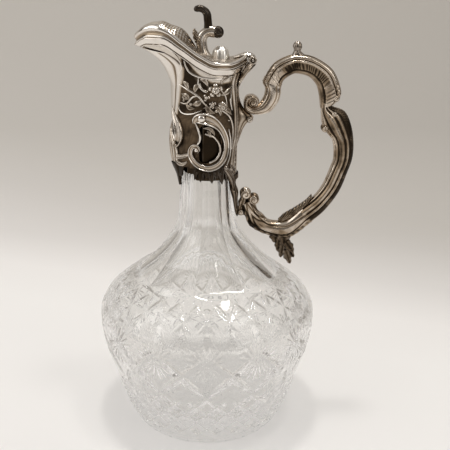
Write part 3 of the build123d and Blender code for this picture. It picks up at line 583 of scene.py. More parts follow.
# The band under the rim: plain, with a rolled top and an incised line near its foot. It is given by
# the drop below the rim line, the distance off the face and the tarnish.
BAND = [(5.2, -.3, .8), (5, .35, .3), (4.6, .55, 0), (4.2, .5, .2), (4, .12, .9), (3.7, .12, .9),
        (3.5, .5, .1), (2.8, .62, 0), (1.6, .66, 0), (.6, .62, 0), (.2, .85, 0), (-.15, .7, .1),
        (-.2, .0, .4), (.1, -1.4, .6)]
drop, out, dirt = columns_of(BAND)
band_points = mount_face(turn_row, rim_height(turn_row, drop), out)[0]
piece("rim_band_rolled", [grid(band_points[::-1], dirt[::-1], wrap_cols=True)], BRIGHT_SILVER, "jug",
      ["rim_band"])

# The plain panel that runs down the front from the spout.
panel_edge = smooth([(218, -20.6), (224, -19), (232, -17.6), (241, -16.4), (248, -14.6), (253, -14.2),
                     (257.5, -18), (261, -23.5), (264, -31), (267, -40)])
PANEL_FOOT, PANEL_TOP = 218, 262
share, columns = down(70), np.linspace(-1, 1, 61)
panel_z = PANEL_FOOT + (PANEL_TOP - PANEL_FOOT) * share
panel_turn = math.pi + columns * (turn_at(panel_edge(panel_z), panel_z) - math.pi)
panel_z = np.minimum(panel_z + (1 - np.abs(columns)) * 4.5 * share, rim_height(panel_turn, 5.4))
line = ridge_at(np.abs(columns), 0.72, 0.035) * (0.1 < share) * (share < 0.98)
out = np.where(share < 0.02, -0.2, 0.75 - 0.95 * np.abs(columns) ** 14) - 0.3 * line
piece("front_panel", [grid(mount_face(panel_turn, panel_z, out)[0],
                           unit(line * 0.9 + np.abs(columns) ** 18))],
      BRIGHT_SILVER, "jug", ["spout_panel"])

# ------------------------------------------------------------------ raised work on the sleeve
CARTOUCHE = [(-8.4, 218.2, .8, 1.2), (-7, 221.2, 2.6, 2.7), (-2.6, 222.2, 3.9, 3.6),
             (2.6, 220.4, 3.7, 3.2), (7.4, 215.9, 2.5, 2.4), (10.7, 209, 2.2, 2.1),
             (11.6, 202.3, 2.1, 2), (9.9, 195, 2.1, 2), (5.9, 190.6, 2.1, 2),
             (.4, 189, 2, 2), (-5.2, 190.6, 1.9, 2.1), (-9.2, 194.4, 1.8, 2.2),
             (-10.7, 199.2, 1.6, 2.3), (-9.4, 203, 1.4, 2.4), (-6.9, 203.7, 1.3, 2.5),
             (-5.4, 201.8, 1.1, 2.5), (-6.6, 199.8, .8, 2.1)]
CARTOUCHE_STEM = [(-7.6, 218.8, .5, 1.2), (-5.9, 214.6, .85, 1.5), (-4.7, 210.4, .9, 1.5),
                  (-5.2, 206.8, .85, 1.5), (-6.6, 204.4, .6, 1.5)]
both_sides("d_cartouche", [stroke(CARTOUCHE, CHANNEL, 170), stroke(CARTOUCHE_STEM, ROUND, 40),
                           boss(-3.6, 222.2, 2.9, 1.5, lift=2.3), boss(-6.9, 201.2, 1.5, 1.2, lift=1.6)],
           BRIGHT_SILVER, ["cartouche"])

WINDOW_SCROLL = [(-1.6, 211.8, .5, .8), (1, 211.2, .8, 1.2), (4.4, 209.4, .8, 1.3), (7.4, 204.8, .8, 1.3),
                 (8, 199.9, .8, 1.2), (5.9, 195.4, .75, 1.1), (1.3, 192.6, .7, .9)]
WINDOW_LEAF = [(-2.6, 215.4, .3, .7), (.6, 215.6, 1.1, 1.3), (3, 213.8, 1.2, 1.3), (4.6, 211, .4, .8)]
WINDOW_SPRIG = [(-.4, 213.6, .3, .7), (1.4, 212.4, 1, 1.3), (1.6, 209.6, .3, .7)]
both_sides("window_scroll", [stroke(WINDOW_SCROLL, ROUND, 50), stroke(WINDOW_LEAF, LEAF, 24),
                             stroke(WINDOW_SPRIG, LEAF, 16)], CHASED_SILVER, ["window_scroll"])

FRONT_SCROLL = [(-22.8, 228.4, .5, .7), (-21.2, 222.6, 2, 1.5), (-19, 216, 3.3, 2.2),
                (-18, 210, 3.5, 2.4), (-18.8, 205.2, 3, 2.5), (-20.6, 202.8, 2, 2.5),
                (-22.4, 203.4, 1.2, 2.2), (-22.8, 205.4, .6, 1.8)]
FRONT_CURL = [(-22, 200.9, .8, 1.6), (-22.6, 197.4, 1.7, 2.2), (-20.4, 195, 1.8, 2.1),
              (-16.6, 195.6, 1.4, 1.8), (-13, 197.2, 1, 1.6), (-10.6, 198.2, .4, 1)]
FRONT_LEAF = [(-21.6, 193, .8, 1.4), (-19.4, 190.6, 1.8, 1.9), (-16.2, 190.2, 1.3, 1.6),
              (-13.4, 192.4, .5, .8)]
both_sides("front_scroll", [stroke(FRONT_SCROLL, SCOOP, 90), stroke(FRONT_CURL, SCOOP, 60),
                            stroke(FRONT_LEAF, LEAF, 30), boss(-20.2, 204.4, 1.5, 1.3, lift=1.8)],
           CHASED_SILVER, ["front_scroll"])

# The spray: (x, z, half width) along each stem and leaf, and for each blossom its middle, the ring that
# its petals lie on, their size and number, and its spin.
SPRAY_STEMS = [
    [(-18.4, 243.1, .3), (-12.4, 239.8, .9), (-6.3, 236.3, .9), (-2.2, 231.6, .7), (.4, 228.9, .3)],
    [(-17.9, 231.2, .3), (-13.3, 231, .8), (-9.4, 235.2, .8), (-5.6, 236.2, .5)],
    [(-4.7, 244.4, .3), (-3.4, 240.6, .7), (.2, 239.4, .4)],
    [(-2.5, 228.6, .4), (1.8, 229.2, .8), (3.2, 232.6, .4)],
    [(5, 228.6, .4), (9.6, 226.4, .9), (14.2, 221.6, 1), (16.3, 213, .8), (15.6, 200, .5)],
    [(7.4, 240.6, .3), (11, 236, .7), (12.2, 230, .4)],
]
SPRAY_LEAVES = [[(-3.6, 233.4, .4), (-6.4, 231.4, 1.9), (-9.8, 230.4, .2)],
                [(-8, 238.4, .4), (-7.2, 241.8, 1.8), (-4.4, 243.6, .2)],
                [(-12, 240.2, .4), (-13.4, 243.4, 1.5), (-16.2, 245.2, .2)],
                [(-11.4, 233.2, .4), (-13.4, 236, 1.5), (-16.6, 236.8, .2)],
                [(-1, 230.6, .4), (1, 226.8, 1.9), (4.8, 225.2, .2)],
                [(6.6, 230.8, .4), (10, 230.4, 1.9), (13.2, 227.6, .2)],
                [(4.6, 229.4, .4), (7.4, 227, 1.7), (8.2, 223.4, .2)],
                [(9.4, 227.4, .4), (12.8, 226.4, 1.6), (15.4, 223, .2)],
                [(8.2, 243.6, .4), (10.4, 247, 1.6), (13.6, 247.6, .2)],
                [(.2, 242.6, .4), (-1.6, 245.8, 1.5), (-4.8, 246.6, .2)],
                [(8.6, 236.4, .4), (12.4, 238.4, 1.7), (16.2, 242.2, .2)],
                [(-13.6, 230.6, .4), (-11.4, 228.4, 1.5), (-8.2, 228, .2)]]
spray = [stroke([(x, z, 0.85 * w, 0.5 + 0.5 * w) for x, z, w in stem], ROUND, 36) for stem in SPRAY_STEMS]
spray += [stroke([(x, z, 1.1 * w, 0.5 + 0.7 * w) for x, z, w in leaf], LEAF, 18) for leaf in SPRAY_LEAVES]
BLOSSOMS = [(4.8, 239.8, 2.5, 2.8, 5, .3), (9.4, 228.6, 1.6, 2, 4, .9), (-.8, 235.2, 1.2, 1.6, 3, .1),
            (3.2, 230.6, 1.2, 1.6, 3, .6), (-14.7, 233.8, 1, 1.2, 3, .2)]
for x, z, ring_radius, petal_radius, petals, spin in BLOSSOMS:
    for angle in spin + np.arange(petals) * TURN / petals:
        spray.append(petal(x + ring_radius * math.cos(angle), z + ring_radius * math.sin(angle),
                           petal_radius, angle))
    spray.append(boss(x, z, 0.35 * ring_radius, 0.8 * petal_radius + 0.3))
spray += [boss(5.4, 226.4, 1.4, 1.4), boss(-10.6, 230.6, 1.3, 1.2), boss(14.2, 233.0, 0.8, 0.9),
          boss(13.6, 219.6, 0.8, 0.9)]
both_sides("flower_spray", spray, CHASED_SILVER, ["flower_spray"])

# Leaf tips hang below the sleeve: where each springs, where it ends and half its width.
FOOT_LEAVES = [(-6, 190.5, -8.6, 180.6, 1.8), (-3.6, 189.5, -4.6, 179.4, 2.3),
               (-.6, 189, -.4, 181.8, 1.9), (2.2, 188.6, 3, 178.6, 2.6),
               (5.4, 189, 6.4, 181.6, 1.9), (8.2, 190, 9.8, 177.4, 2.4)]


def foot_leaf(x, z, tip, low, wide):
    """A leaf that hangs from its root to its tip, and the curl beside it."""
    leaf = [(x, z, wide, 0.9), (0.6 * x + 0.4 * tip, 0.6 * z + 0.4 * low, 1.15 * wide, 1.6),
            (0.25 * x + 0.75 * tip, 0.25 * z + 0.75 * low, 0.6 * wide, 1.3), (tip, low, 0.15, 0.5)]
    curl = [(x + 1.6, z - 3, 0.4, 1.2), (tip + 1.8, 0.5 * (z + low), 0.9, 1.9),
            (tip + 2.2, low + 2, 0.2, 1.0)]
    return stroke(leaf, LEAF, 40), stroke(curl, ROUND, 24)


leaves, curls = zip(*(foot_leaf(*places) for places in FOOT_LEAVES))
both_sides("foot_leaves", leaves + curls, BLACKENED_SILVER, [])

# Lines chased along the mouth and down the sides of the panel, alike on the far and the near side.
CHASED_LINES = [[(-35.7, 266.6, .3, .35), (-33, 268, .35, .4), (-28.6, 267.2, .4, .45),
                 (-22.3, 263.4, .45, .5), (-18, 258.4, .5, .6), (-16.4, 253.8, .6, .7),
                 (-17.8, 249.6, .6, .7), (-18.6, 244, .55, .6), (-19, 236.7, .5, .6),
                 (-18.6, 228, .5, .6), (-16, 224.4, .5, .6), (-10.5, 224.4, .5, .6),
                 (-4.1, 226.8, .35, .5)],
                [(-14.8, 258, .35, .4), (-13.6, 254.4, .6, .7), (-11, 250.8, .7, .8),
                 (-5.2, 248.2, .7, .8), (4.8, 246.9, .7, .8), (13, 247.2, .6, .7),
                 (18.4, 248.6, .4, .5)],
                [(-5.9, 248, .3, .5), (-5.6, 243.4, .8, .9), (-3, 239.8, .7, .9),
                 (-.4, 238.4, .3, .6)],
                [(16.4, 246.6, .3, .5), (15.2, 240, .8, .9), (14.6, 232, .8, .9),
                 (15.6, 226, .4, .6)],
                [(13.6, 214, .3, .5), (14.9, 206, .7, .8), (14.4, 196, .7, .8),
                 (11.6, 187.6, .4, .5)]]
both_sides("chased_lines", [stroke(line, ROUND, 90) for line in CHASED_LINES], BRIGHT_SILVER, [])

# ------------------------------------------------------------------ shell and drop on the front
share, columns = down(60), np.linspace(-1, 1, 91)
spread = 0.16 + 0.42 * np.sin(math.pi * np.minimum(1, share * 1.15 + 0.06)) ** 0.8
ribs = np.cos(columns * 9 * math.pi / 2) ** 2
rise = np.sin(math.pi * np.minimum(1, 0.16 + 0.84 * share)) ** 0.6
swell = 3.4 * (1 - columns ** 2) ** 0.5 * rise - 0.3
shell = mount_face(math.pi + columns * spread, 186 + 31 * share, swell * (0.78 + 0.22 * ribs))[0]
piece("front_shell_ribbed", [grid(shell, unit((1 - ribs) * 0.8 + (np.abs(columns) > 0.95)))],
      CHASED_SILVER, "jug", ["front_shell"])

share, columns = down(30), np.linspace(-1, 1, 25)
spread = 0.46 * (1 - share) ** 0.7 + 0.015
crease = 1 - 0.45 * ridge_at(columns, 0, 0.12)
out = (3.6 - 1.6 * share) * (1 - columns ** 2) ** 0.5 * crease - 0.4 - 1.4 * share
pendant = mount_face(math.pi + columns * spread, 190 - 17.6 * share, out)[0]
piece("front_drop", [grid(pendant, 0.7 + 0.3 * (crease < 0.8))], BLACKENED_SILVER, "jug",
      ["front_pendant"])

# ------------------------------------------------------------------ strap, bracket and toe at the back
strap_out = smooth([(180, .7), (200, .8), (208, 1.7), (222, 1.6), (241, 1.5), (250, 1)])
columns = np.linspace(-1, 1, 85)
STRAP_FOOT, STRAP_TOP = 179.5, 249.5
strap_z = np.linspace(STRAP_FOOT, STRAP_TOP, 110)[:, None]
strap_turn = columns * (0.60 + 0.13 * np.cos((strap_z - 180) / 70 * TURN))
ridge = 0.5 + 0.5 * np.cos(np.abs(columns) ** 0.9 * 4.5 * TURN)
punch = ridge_at(np.abs(columns), 0.45, 0.06) * (np.cos(strap_z * 2.1) > 0.2)
strap_level = strap_out(strap_z) * (1 - np.abs(columns) ** 10) - 0.35 * (1 - ridge) - 0.3 * punch
strap_dirt = unit(0.75 * (1 - ridge) ** 2 + 0.8 * punch + np.abs(columns) ** 20)
piece("ribbed_strap", [grid(mount_face(strap_turn, strap_z, strap_level)[0], strap_dirt)], CHASED_SILVER,
      "jug", ["back_strap"])

TOE_TIP, TOE_TOP = 149.4, 181.5
toe_half = smooth([(TOE_TIP, .02), (152, .2), (158, .36), (166, .48), (172, .58), (178, .62),
                   (TOE_TOP, 0.56)])
toe_z = np.linspace(TOE_TIP, TOE_TOP, 90)[:, None]
vein = 0.5 + 0.5 * np.cos(np.abs(columns) * 3.4 * TURN + 0.05 * (toe_z - 150))
curl = ridge_at(toe_z, 168, 3.0)
toe_level = (np.maximum(glass_radius(toe_z), 19.4 * (toe_z > 178)) + 0.1 + (1.7 + 1.0 * curl)
             * (1 - np.abs(columns) ** 6) * (0.72 + 0.28 * vein) * unit((toe_z - 148.8) / 3))
toe_dirt = unit(0.2 + 0.9 * (1 - vein) ** 2 + np.abs(columns) ** 12)
TOE_FLANK = [(10.6, 190, .6, 1), (11.6, 188, 2, 2), (13.6, 185, 2.5, 2.2), (15.6, 181, 2.6, 2),
             (16.8, 176.5, 2.2, 1.6), (17.2, 171.5, .6, .8)]
TOE_SPRIG = [(14.6, 190.4, .4, .8), (16.4, 186.6, 1.6, 1.6), (18, 181.6, 1.6, 1.5), (18.6, 176, .6, .8)]
toe_sides = [stroke(TOE_FLANK, LEAF, 40), stroke(TOE_SPRIG, LEAF, 30), boss(11.4, 188.6, 1.9, 1.4, lift=1.2)]
toe_sides += [mirrored(side) for side in toe_sides]
toe = grid(ring_points(toe_level, columns * toe_half(toe_z), toe_z), toe_dirt)
piece("strap_toe_leaf", [toe] + toe_sides, DARK_SILVER, "jug", ["strap_toe"])

bracket_line = through([(20.2, 236), (22, 229), (25.4, 223.6), (29.9, 220.4), (30.4, 218.2), (27.4, 216.2),
                        (24.4, 212.4), (22.2, 207), (20.2, 201)], 50)
across = np.linspace(-1, 1, 21)
reach = 1 - np.abs(across) ** 1.7
BRACKET_SEAT = 19.4             # distance of the bracket's edges from the jug's axis
bracket = points_of(BRACKET_SEAT + (bracket_line[:, :1] - BRACKET_SEAT) * reach,
                    across * (3.4 - 1.6 * reach), bracket_line[:, 1:])
bracket_lines = sum(ridge_at(np.abs(across), place, 0.09) for place in (0.3, 0.6, 0.9))


# ------------------------------------------------------------------ handle
def bar(stations, count, relief, columns=64, fullness=0.82):
    """A scrolled bar through stations of (outer x, z), (inner x, z), thickness, with its chasing."""
    path = through([(*outer, *inner, thick) for outer, inner, thick in stations], count)
    outer, inner, thick = path[:, 0:2], path[:, 2:4], path[:, 4]
    middle = (outer + inner) / 2
    length = np.r_[0, np.cumsum(np.linalg.norm(np.diff(middle, axis=0), axis=1))][:, None]
    phi = around(columns)[None, :]
    u, side = np.cos(phi), np.sin(phi)
    v = np.sign(side) * np.abs(side) ** fullness
    height, dirt = relief(u, length, length[-1, 0])
    wide = (outer - inner) / 2
    across = wide / (np.linalg.norm(wide, axis=1, keepdims=True) + 1e-9)
    half = np.linalg.norm(wide, axis=1)[:, None]
    place = half * u + height * u * np.abs(u) ** 0.5
    depth = (thick[:, None] / 2) * v + height * v
    points = np.stack([middle[:, :1] + across[:, :1] * place, depth,
                       middle[:, 1:] + across[:, 1:] * place], -1)
    return grid(points, dirt, wrap_cols=True, cap=True)


def arch_relief(u, s, total):
    """A round outer bead, gadroons in a sunk field along the flank, and a plain inner bead."""
    rims = 0.45 * ridge_at(u, 0.72, 0.16) + 0.3 * ridge_at(u, 0.35, 0.09) + 0.35 * ridge_at(u, -0.76, 0.14)
    lines = ridge_at(u, 0.48, 0.06) + 0.8 * ridge_at(u, 0.95, 0.05) + ridge_at(u, -0.56, 0.06)
    field = np.exp(-((u + 0.16) / 0.36) ** 6)
    where = unit((s - 10) / 6) * unit((total - 14 - s) / 4)
    swing = s + 1.6 * u + 0.6 * np.sin(s * 0.6)
    ribs = (0.5 + 0.5 * np.cos(swing * TURN / 1.9)) ** 0.8
    bands = sum(np.exp(-((s - total + b + 2.2 * u) / 0.5) ** 2) for b in (3.0, 5.4, 7.8, 10.2))
    bands = bands + sum(np.exp(-((s - b - 2.5 * u) / 0.5) ** 2) for b in (2.2, 4.6, 7.0))
    height = rims - 0.65 * lines - 0.42 * field * where * (1.1 - ribs) + 0.28 * bands * (np.abs(u) < 0.9)
    dirt = unit(0.9 * lines + field * where * (0.45 + 0.5 * (1 - ribs)) + 0.3 * (u < -0.56) + 0.16)
    return height, dirt


def grip_relief(u, s, total):
    """A few long flutes of unlike width that run the length of the grip, granulated down the outside."""
    drift = 0.16 * np.sin(s / total * math.pi * 1.3) - 0.08
    lines = (ridge_at(u, -0.66 + drift, 0.08) + ridge_at(u, 0.06 + drift, 0.12)
             + 0.8 * ridge_at(u, 0.46 + drift, 0.06))
    rims = 0.4 * ridge_at(u, -0.3 + drift, 0.16) + 0.4 * ridge_at(u, 0.27 + drift, 0.1)
    outer = np.exp(-((u - 0.74 - drift) / 0.30) ** 6)
    grains = np.cos(s * 5.1 + 2 * np.cos(u * 31)) * np.cos(u * 44 + s)
    top = sum(np.exp(-((s - b - 3.4 * u) / 0.6) ** 2) for b in (5.5, 8.6, 12.0))
    height = rims - 0.6 * lines + 0.07 * outer * grains + 0.1 * top * (np.abs(u) < 0.6)
    hollow = ridge_at(u, -0.42 + drift, 0.14)
    dirt = 0.95 * lines + outer * (0.7 + 0.25 * grains) + 0.45 * hollow + 0.2
    return height, unit(dirt)


def foot_relief(u, s, total):
    """Smooth in the bend, with leaf ribs towards the glass."""
    leafy = unit((s - total + 24) / 8)
    veins = 0.5 + 0.5 * np.cos((0.35 * s + 7 * np.abs(u)) * TURN / 3.6)
    onward = unit(s / 22)
    lines = ridge_at(u, 0.25 + 0.25 * onward, 0.07) + 0.8 * ridge_at(u, -0.15 - 0.4 * onward, 0.08)
    crumple = (u > 0.5) * (0.5 + 0.5 * np.cos(s * 1.7 + 6 * u))
    height = -0.5 * lines + leafy * 0.4 * (veins - 0.4) + 0.25 * crumple
    dirt = 0.9 * lines + 0.7 * leafy * (1 - veins) ** 1.5 + (u > 0.5) * (0.25 + 0.4 * (1 - crumple)) + 0.16
    return height, unit(dirt)


def plain_relief(u, s, total):
    lines = ridge_at(u, 0.45, 0.07) + ridge_at(u, -0.45, 0.07)
    return -0.3 * lines, unit(0.7 * lines + 0.05 + 0 * s)


def leaf_relief(u, s, total):
    veins = 0.5 + 0.5 * np.cos((s - 4.0 * u) * TURN / 2.7)
    spine = ridge_at(u, 0.0, 0.12)
    return 0.45 * spine + 0.7 * (veins - 0.55) * (1 - spine), unit(0.35 + 0.75 * (1 - veins) ** 1.2)


ARCH = [((35.6, 243.4), (48.2, 239.5), 9.5), ((42.6, 254.4), (50, 244), 10.5),
        ((52.1, 259.7), (55.5, 247.6), 10.5), ((60, 260.7), (59.5, 247.9), 10.5),
        ((70.5, 258.2), (66, 246), 10.5), ((81.8, 250.4), (71, 241), 10.5),
        ((87.6, 238.5), (73.2, 234.6), 10.5), ((87.2, 232.4), (74, 229.6), 10),
        ((83.6, 228.4), (74.6, 225.6), 9)]
GRIP = [((79.6, 231), (75, 228.6), 7.5), ((82.6, 227), (75.2, 222.6), 9),
        ((91, 223.4), (76, 216.4), 10.5), ((95.8, 214.5), (78.6, 210.6), 10.5),
        ((98.2, 203), (84, 203), 10.5), ((98.2, 192), (85.4, 192), 10.5),
        ((95.5, 182), (83.2, 184), 10.5), ((90.5, 168), (79.1, 173), 10.5),
        ((81.5, 154.5), (73, 164), 10.5), ((71.4, 144.8), (63.5, 155.6), 10.5)]
FOOT = [((73.2, 146.4), (65.2, 157), 10.4), ((71.4, 144.8), (63.5, 155.6), 10.5),
        ((58, 134.6), (54, 147.2), 10.5), ((43.6, 136), (43.8, 147), 10.5),
        ((31.2, 141.7), (39.1, 150.8), 10.5), ((25.8, 150.5), (35.2, 154.5), 10),
        ((22.4, 158.5), (31.6, 162), 9)]
NECK = [((37, 246.4), (48.8, 241), 9.3), ((36, 242.2), (48.2, 238.6), 9.6),
        ((37.6, 238.4), (48.1, 234.6), 9.8), ((36.8, 233.6), (46.4, 228.8), 10),
        ((34, 228.8), (40.6, 222.4), 10.4), ((30.2, 226.6), (30.4, 221.2), 10.8),
        ((27.2, 228), (24.2, 225.2), 11), ((27.6, 230.8), (24.6, 232.8), 11),
        ((29.6, 231.6), (29.6, 234.6), 11), ((31.4, 230.4), (33.8, 231.6), 11),
        ((31.2, 228.8), (33, 227.2), 11.2), ((30, 228.6), (29.8, 226.9), 11.4)]
piece("handle_arch_chased", [bar(ARCH, 300, arch_relief, 128)], HANDLE_SILVER, "jug", ["handle_arch"])
piece("handle_foot_bend", [bar(FOOT, 220, foot_relief, 112)], HANDLE_SILVER, "jug", ["handle_foot"])

BUD = [((53.6, 258.8), (64.6, 258.4), 7.6), ((55, 261.2), (62, 260.8), 6.4),
       ((55.6, 263), (60.2, 262.6), 5.2), ((54.9, 265), (60.9, 264.6), 6),
       ((55.3, 267), (60.6, 266.7), 5.4), ((56.6, 268.4), (59.6, 268.2), 3.2)]
piece("handle_bud_leaf", [bar(BUD, 60, plain_relief, 48)], DARK_SILVER, "jug", ["handle_bud"])
INNER_LEAF = [((49.4, 147.4), (49.8, 146), 3), ((53.6, 151.6), (53, 146.5), 6.2),
              ((61, 156.2), (59.6, 150.4), 7), ((67.8, 161), (66.4, 156.4), 7),
              ((72, 165.6), (71.6, 163.4), 5)]
piece("handle_inner_leaf_curl", [bar(INNER_LEAF, 90, leaf_relief, 48)], HANDLE_SILVER, "jug",
      ["handle_inner_leaf"])

# The cast drop is a bunch of folded lobes: root, tip and greatest half width of each, and its side step.
DROP_LOBES = [((48, 138.4), (48.2, 129.6), 4.2, .0), ((53.6, 139.4), (54.6, 127), 4.4, .6),
              ((50.8, 132), (50.2, 122.4), 2.7, 1.4), ((55.4, 131.4), (61, 123.2), 3, -1),
              ((53.4, 128.4), (52.2, 118.2), 2.7, .9), ((57, 126), (61.8, 118.4), 2.4, .8),
              ((55.4, 125), (59.2, 113.8), 2.9, -.2)]


def lobe(root, tip, half, aside, rows=34, columns=28):
    """One folded lobe: a pointed, creased drop from its root to its tip, seen from the side."""
    share = np.linspace(0, 1, rows)
    path = np.outer(1 - share, root) + np.outer(share, tip)
    swell = np.sin(math.pi * unit(0.22 + 0.78 * share)) ** 0.7
    wide = half * swell * (1 + 0.12 * np.sin(share * 16))
    along = np.array(tip) - np.array(root)
    along = along / np.linalg.norm(along)
    phi = around(columns)
    crease = 1 - 0.42 * ridge_at(np.cos(phi), 0, 0.22)
    across = np.outer(wide, np.cos(phi))
    deep = np.outer(np.minimum(wide, 2.6), np.sin(phi) * crease) + aside
    points = np.stack([path[:, :1] - across * along[1], deep, path[:, 1:] + across * along[0]], -1)
    dirt = unit(0.35 + 0.6 * (1 - crease) / 0.42 + 0.5 * (np.abs(np.cos(phi)) > 0.93))
    return grid(points, dirt, wrap_cols=True, cap=True)


piece("handle_foot_leaves", [lobe((28.4, 164.0), (24.0, 150.6), 3.2, 1.4),
                             lobe((26.0, 166.6), (21.8, 153.4), 2.6, -1.4),
                             lobe((30.6, 158.0), (25.4, 149.4), 2.4, 2.4)],
      HANDLE_SILVER, "jug", [])
piece("handle_drop_leaf_cast", [lobe(*places) for places in DROP_LOBES], DARK_SILVER, "jug",
      ["handle_drop_leaf"])

KNOB_PROFILE = [(.02, 1), (.25, 1.02), (.5, 1), (.75, .93), (.92, .78), (1, .55), (1, .3),
                (1, .0)]


def knob(x, z, radius, half, turns=1.4, spin=0.0):
    """A rolled leaf end seen from the side: a disc across the handle with a spiral on both faces."""
    profile = KNOB_PROFILE + [(r, -y) for r, y in KNOB_PROFILE[-2::-1]]
    profile = through([(r * radius, y * half) for r, y in profile], 60)
    angle = around(56)
    r, y = profile[:, :1], profile[:, 1:]
    phase = (r / radius * turns - angle / TURN + spin) % 1.0
    groove = ridge_at(phase, 0.5, 0.13) * (r > 0.12 * radius)
    y = y * (1 - 0.09 * groove)
    r = r + 0.35 * np.cos(y * 2.6) * (r > 0.98 * radius)
    points = np.stack([x + r * np.cos(angle), y, z + r * np.sin(angle)], -1)
    return grid(points, unit(groove * 0.7 + 0.08), wrap_cols=True)


piece("handle_volute_scroll", [bar(NECK, 240, plain_relief, 72),
                               knob(29.9, 229.7, 3.4, 4.9, turns=1.1, spin=0.4)],
      HANDLE_SILVER, "jug", ["handle_volute"])
piece("bracket_leaf", [grid(bracket, unit(0.1 + 0.85 * bracket_lines)),
                       knob(27.9, 217.9, 2.1, 3.2)],
      CHASED_SILVER, "jug", ["strap_bracket"])
piece("handle_grip_fluted", [bar(GRIP, 300, grip_relief, 144), knob(83.6, 222.0, 2.1, 5.7, spin=0.3),
                             knob(78.6, 212.2, 2.3, 4.9, spin=0.6), knob(84.2, 232.4, 2.3, 5.2, spin=0.1)],
      HANDLE_SILVER, "jug", ["handle_grip"])
piece("handle_curls_rolled", [knob(26.3, 166.2, 3.6, 4.6), knob(31.9, 162.3, 3.5, 4.6, spin=0.4),
                              knob(23.2, 153.4, 2.2, 4.6, spin=0.2)], HANDLE_SILVER, "jug", ["handle_curls"])

# ------------------------------------------------------------------ hinge
HINGE_X, HINGE_Z, BARREL = 28.9, 257.1, 2.6


def turned(profile, columns=40):
    """A form turned about the hinge pin, from (y, radius, tarnish) places along it."""
    y, r, dirt = columns_of(profile)
    angle = around(columns)
    points = points_of(HINGE_X + r * np.cos(angle), y, HINGE_Z + r * np.sin(angle))
    return grid(points, dirt, wrap_cols=True)


def slab(outline, depths, droop=0.0):
    """A plate across the hinge from its outline in X and Z, which droops towards its ends."""
    x, z = np.array(outline + outline[:1]).T
    y = np.array(depths)[:, None]
    return points_of(x, y, z - droop * np.abs(y))


KNUCKLE = [(4.1, 1.1, 1), (4.1, 2.3, .8), (4.3, 2.6, .2), (5.6, 2.6, 0), (5.75, 2.35, .9), (5.9, 2.6, .1),
           (6.9, 2.6, 0), (7.05, 2.35, .9), (7.2, 2.6, .1), (7.75, 2.6, 0), (8, 2.3, .1), (8, 1.7, .4),
           (7.8, 1.5, 1), (7.8, 1.1, 1)]
LEG = [(29.6, 255), (27.2, 255.2), (25.6, 253.4), (22.4, 249.4), (20.2, 244.6), (19.6, 240),
       (20.4, 240.6), (22.4, 244.4), (25.2, 248.6), (28.2, 251.6), (30.9, 254.6)]
knuckles = [turned(KNUCKLE), grid(slab(LEG, (4.1, 4.3, 6.0, 7.6, 7.9)), 0.3, cap=True)]
piece("hinge_knuckles_fixed", knuckles + [mirrored(sheet) for sheet in knuckles], CHASED_SILVER, "jug",
      ["hinge_knuckles"])
PIN = [(-8.6, .05, 0), (-8.55, .6, 0), (-8.3, .95, .2), (-8, 1, .6), (8, 1, .6), (8.3, .95, .2),
       (8.55, .6, 0), (8.6, .05, 0)]
piece("hinge_pin_rod", [turned(PIN, 24)], PIN_METAL, "jug", ["hinge_pin"])

# ------------------------------------------------------------------ lid
LID_FRONT, LID_BACK, LID_HALF, LID_PINCH = 47.4, 26.4, 22.1, 0.05
LID_GAP = 0.3


def lid_outline(turn, inset=0.0):
    """Plan of the lid, drawn in by a distance."""
    along, across = np.cos(turn), np.sin(turn)
    x = np.where(along < 0, LID_FRONT - inset, LID_BACK - inset) * along
    y = (LID_HALF - inset) * across * np.where(along < 0, 1 - LID_PINCH * along ** 2, 1)
    return x, y


# Cross section of the edge moulding: inset, share of its height, tarnish. The tarnish in the groove under
# the roll and at the moulding's foot is partly painted shade.
EDGE = [(3.4, .10, .6), (1.3, .0, .5), (.75, .0, .3), (.45, .05, 0), (.42, .12, 0), (.6, .17, .2),
        (1.1, .22, .5), (1.4, .3, .55), (1.35, .4, .55), (.9, .48, .5), (.45, .53, .2), (.08, .6, 0),
        (.0, .72, 0), (.12, .84, 0), (.5, .94, 0), (1.1, 1, 0), (1.7, 1, 0), (2.3, .93, 0),
        (2.8, .8, .1), (3.15, .62, .5), (3.5, .5, .8)]
edge_turn = around(360)
edge_x, _ = lid_outline(edge_turn)
edge_low = rim(edge_x) + LID_GAP
inset, share, edge_tarnish_and_shade = columns_of(EDGE)
x, y = lid_outline(edge_turn, inset)
# The moulding keeps clear of the hinge barrel, so that it doesn't touch it when the lid opens.
z = edge_low + (crest(edge_x) - edge_low) * share
x = x - 1.2 * np.maximum(0, BARREL + 0.35 - np.hypot(x - HINGE_X, z - HINGE_Z))
piece("lid_edge_rolled", [grid(np.stack([x, y, z], -1), edge_tarnish_and_shade, wrap_rows=True, wrap_cols=True)],
      BRIGHT_SILVER, "lid", ["lid_edge", "lid_bezel"])

# The lid's own sheet, with feathering chased into it around the shell.
share = down(60)
x, y = (side * share for side in lid_outline(edge_turn, 3.1))
feather = 0.16 * np.cos(edge_turn * 44) * unit((share - 0.35) * 2) * (share < 0.97)
sheet_points = np.stack([x, y, rim(x) + 3.2 + (1 - share ** 2) + feather], -1)
sheet_dirt = unit(0.35 - 1.6 * feather + 0.5 * (share > 0.95))
piece("lid_sheet", [grid(sheet_points, sheet_dirt, wrap_cols=True)], CHASED_SILVER, "lid", ["lid_plate"],
      thickness=LID_WALL)

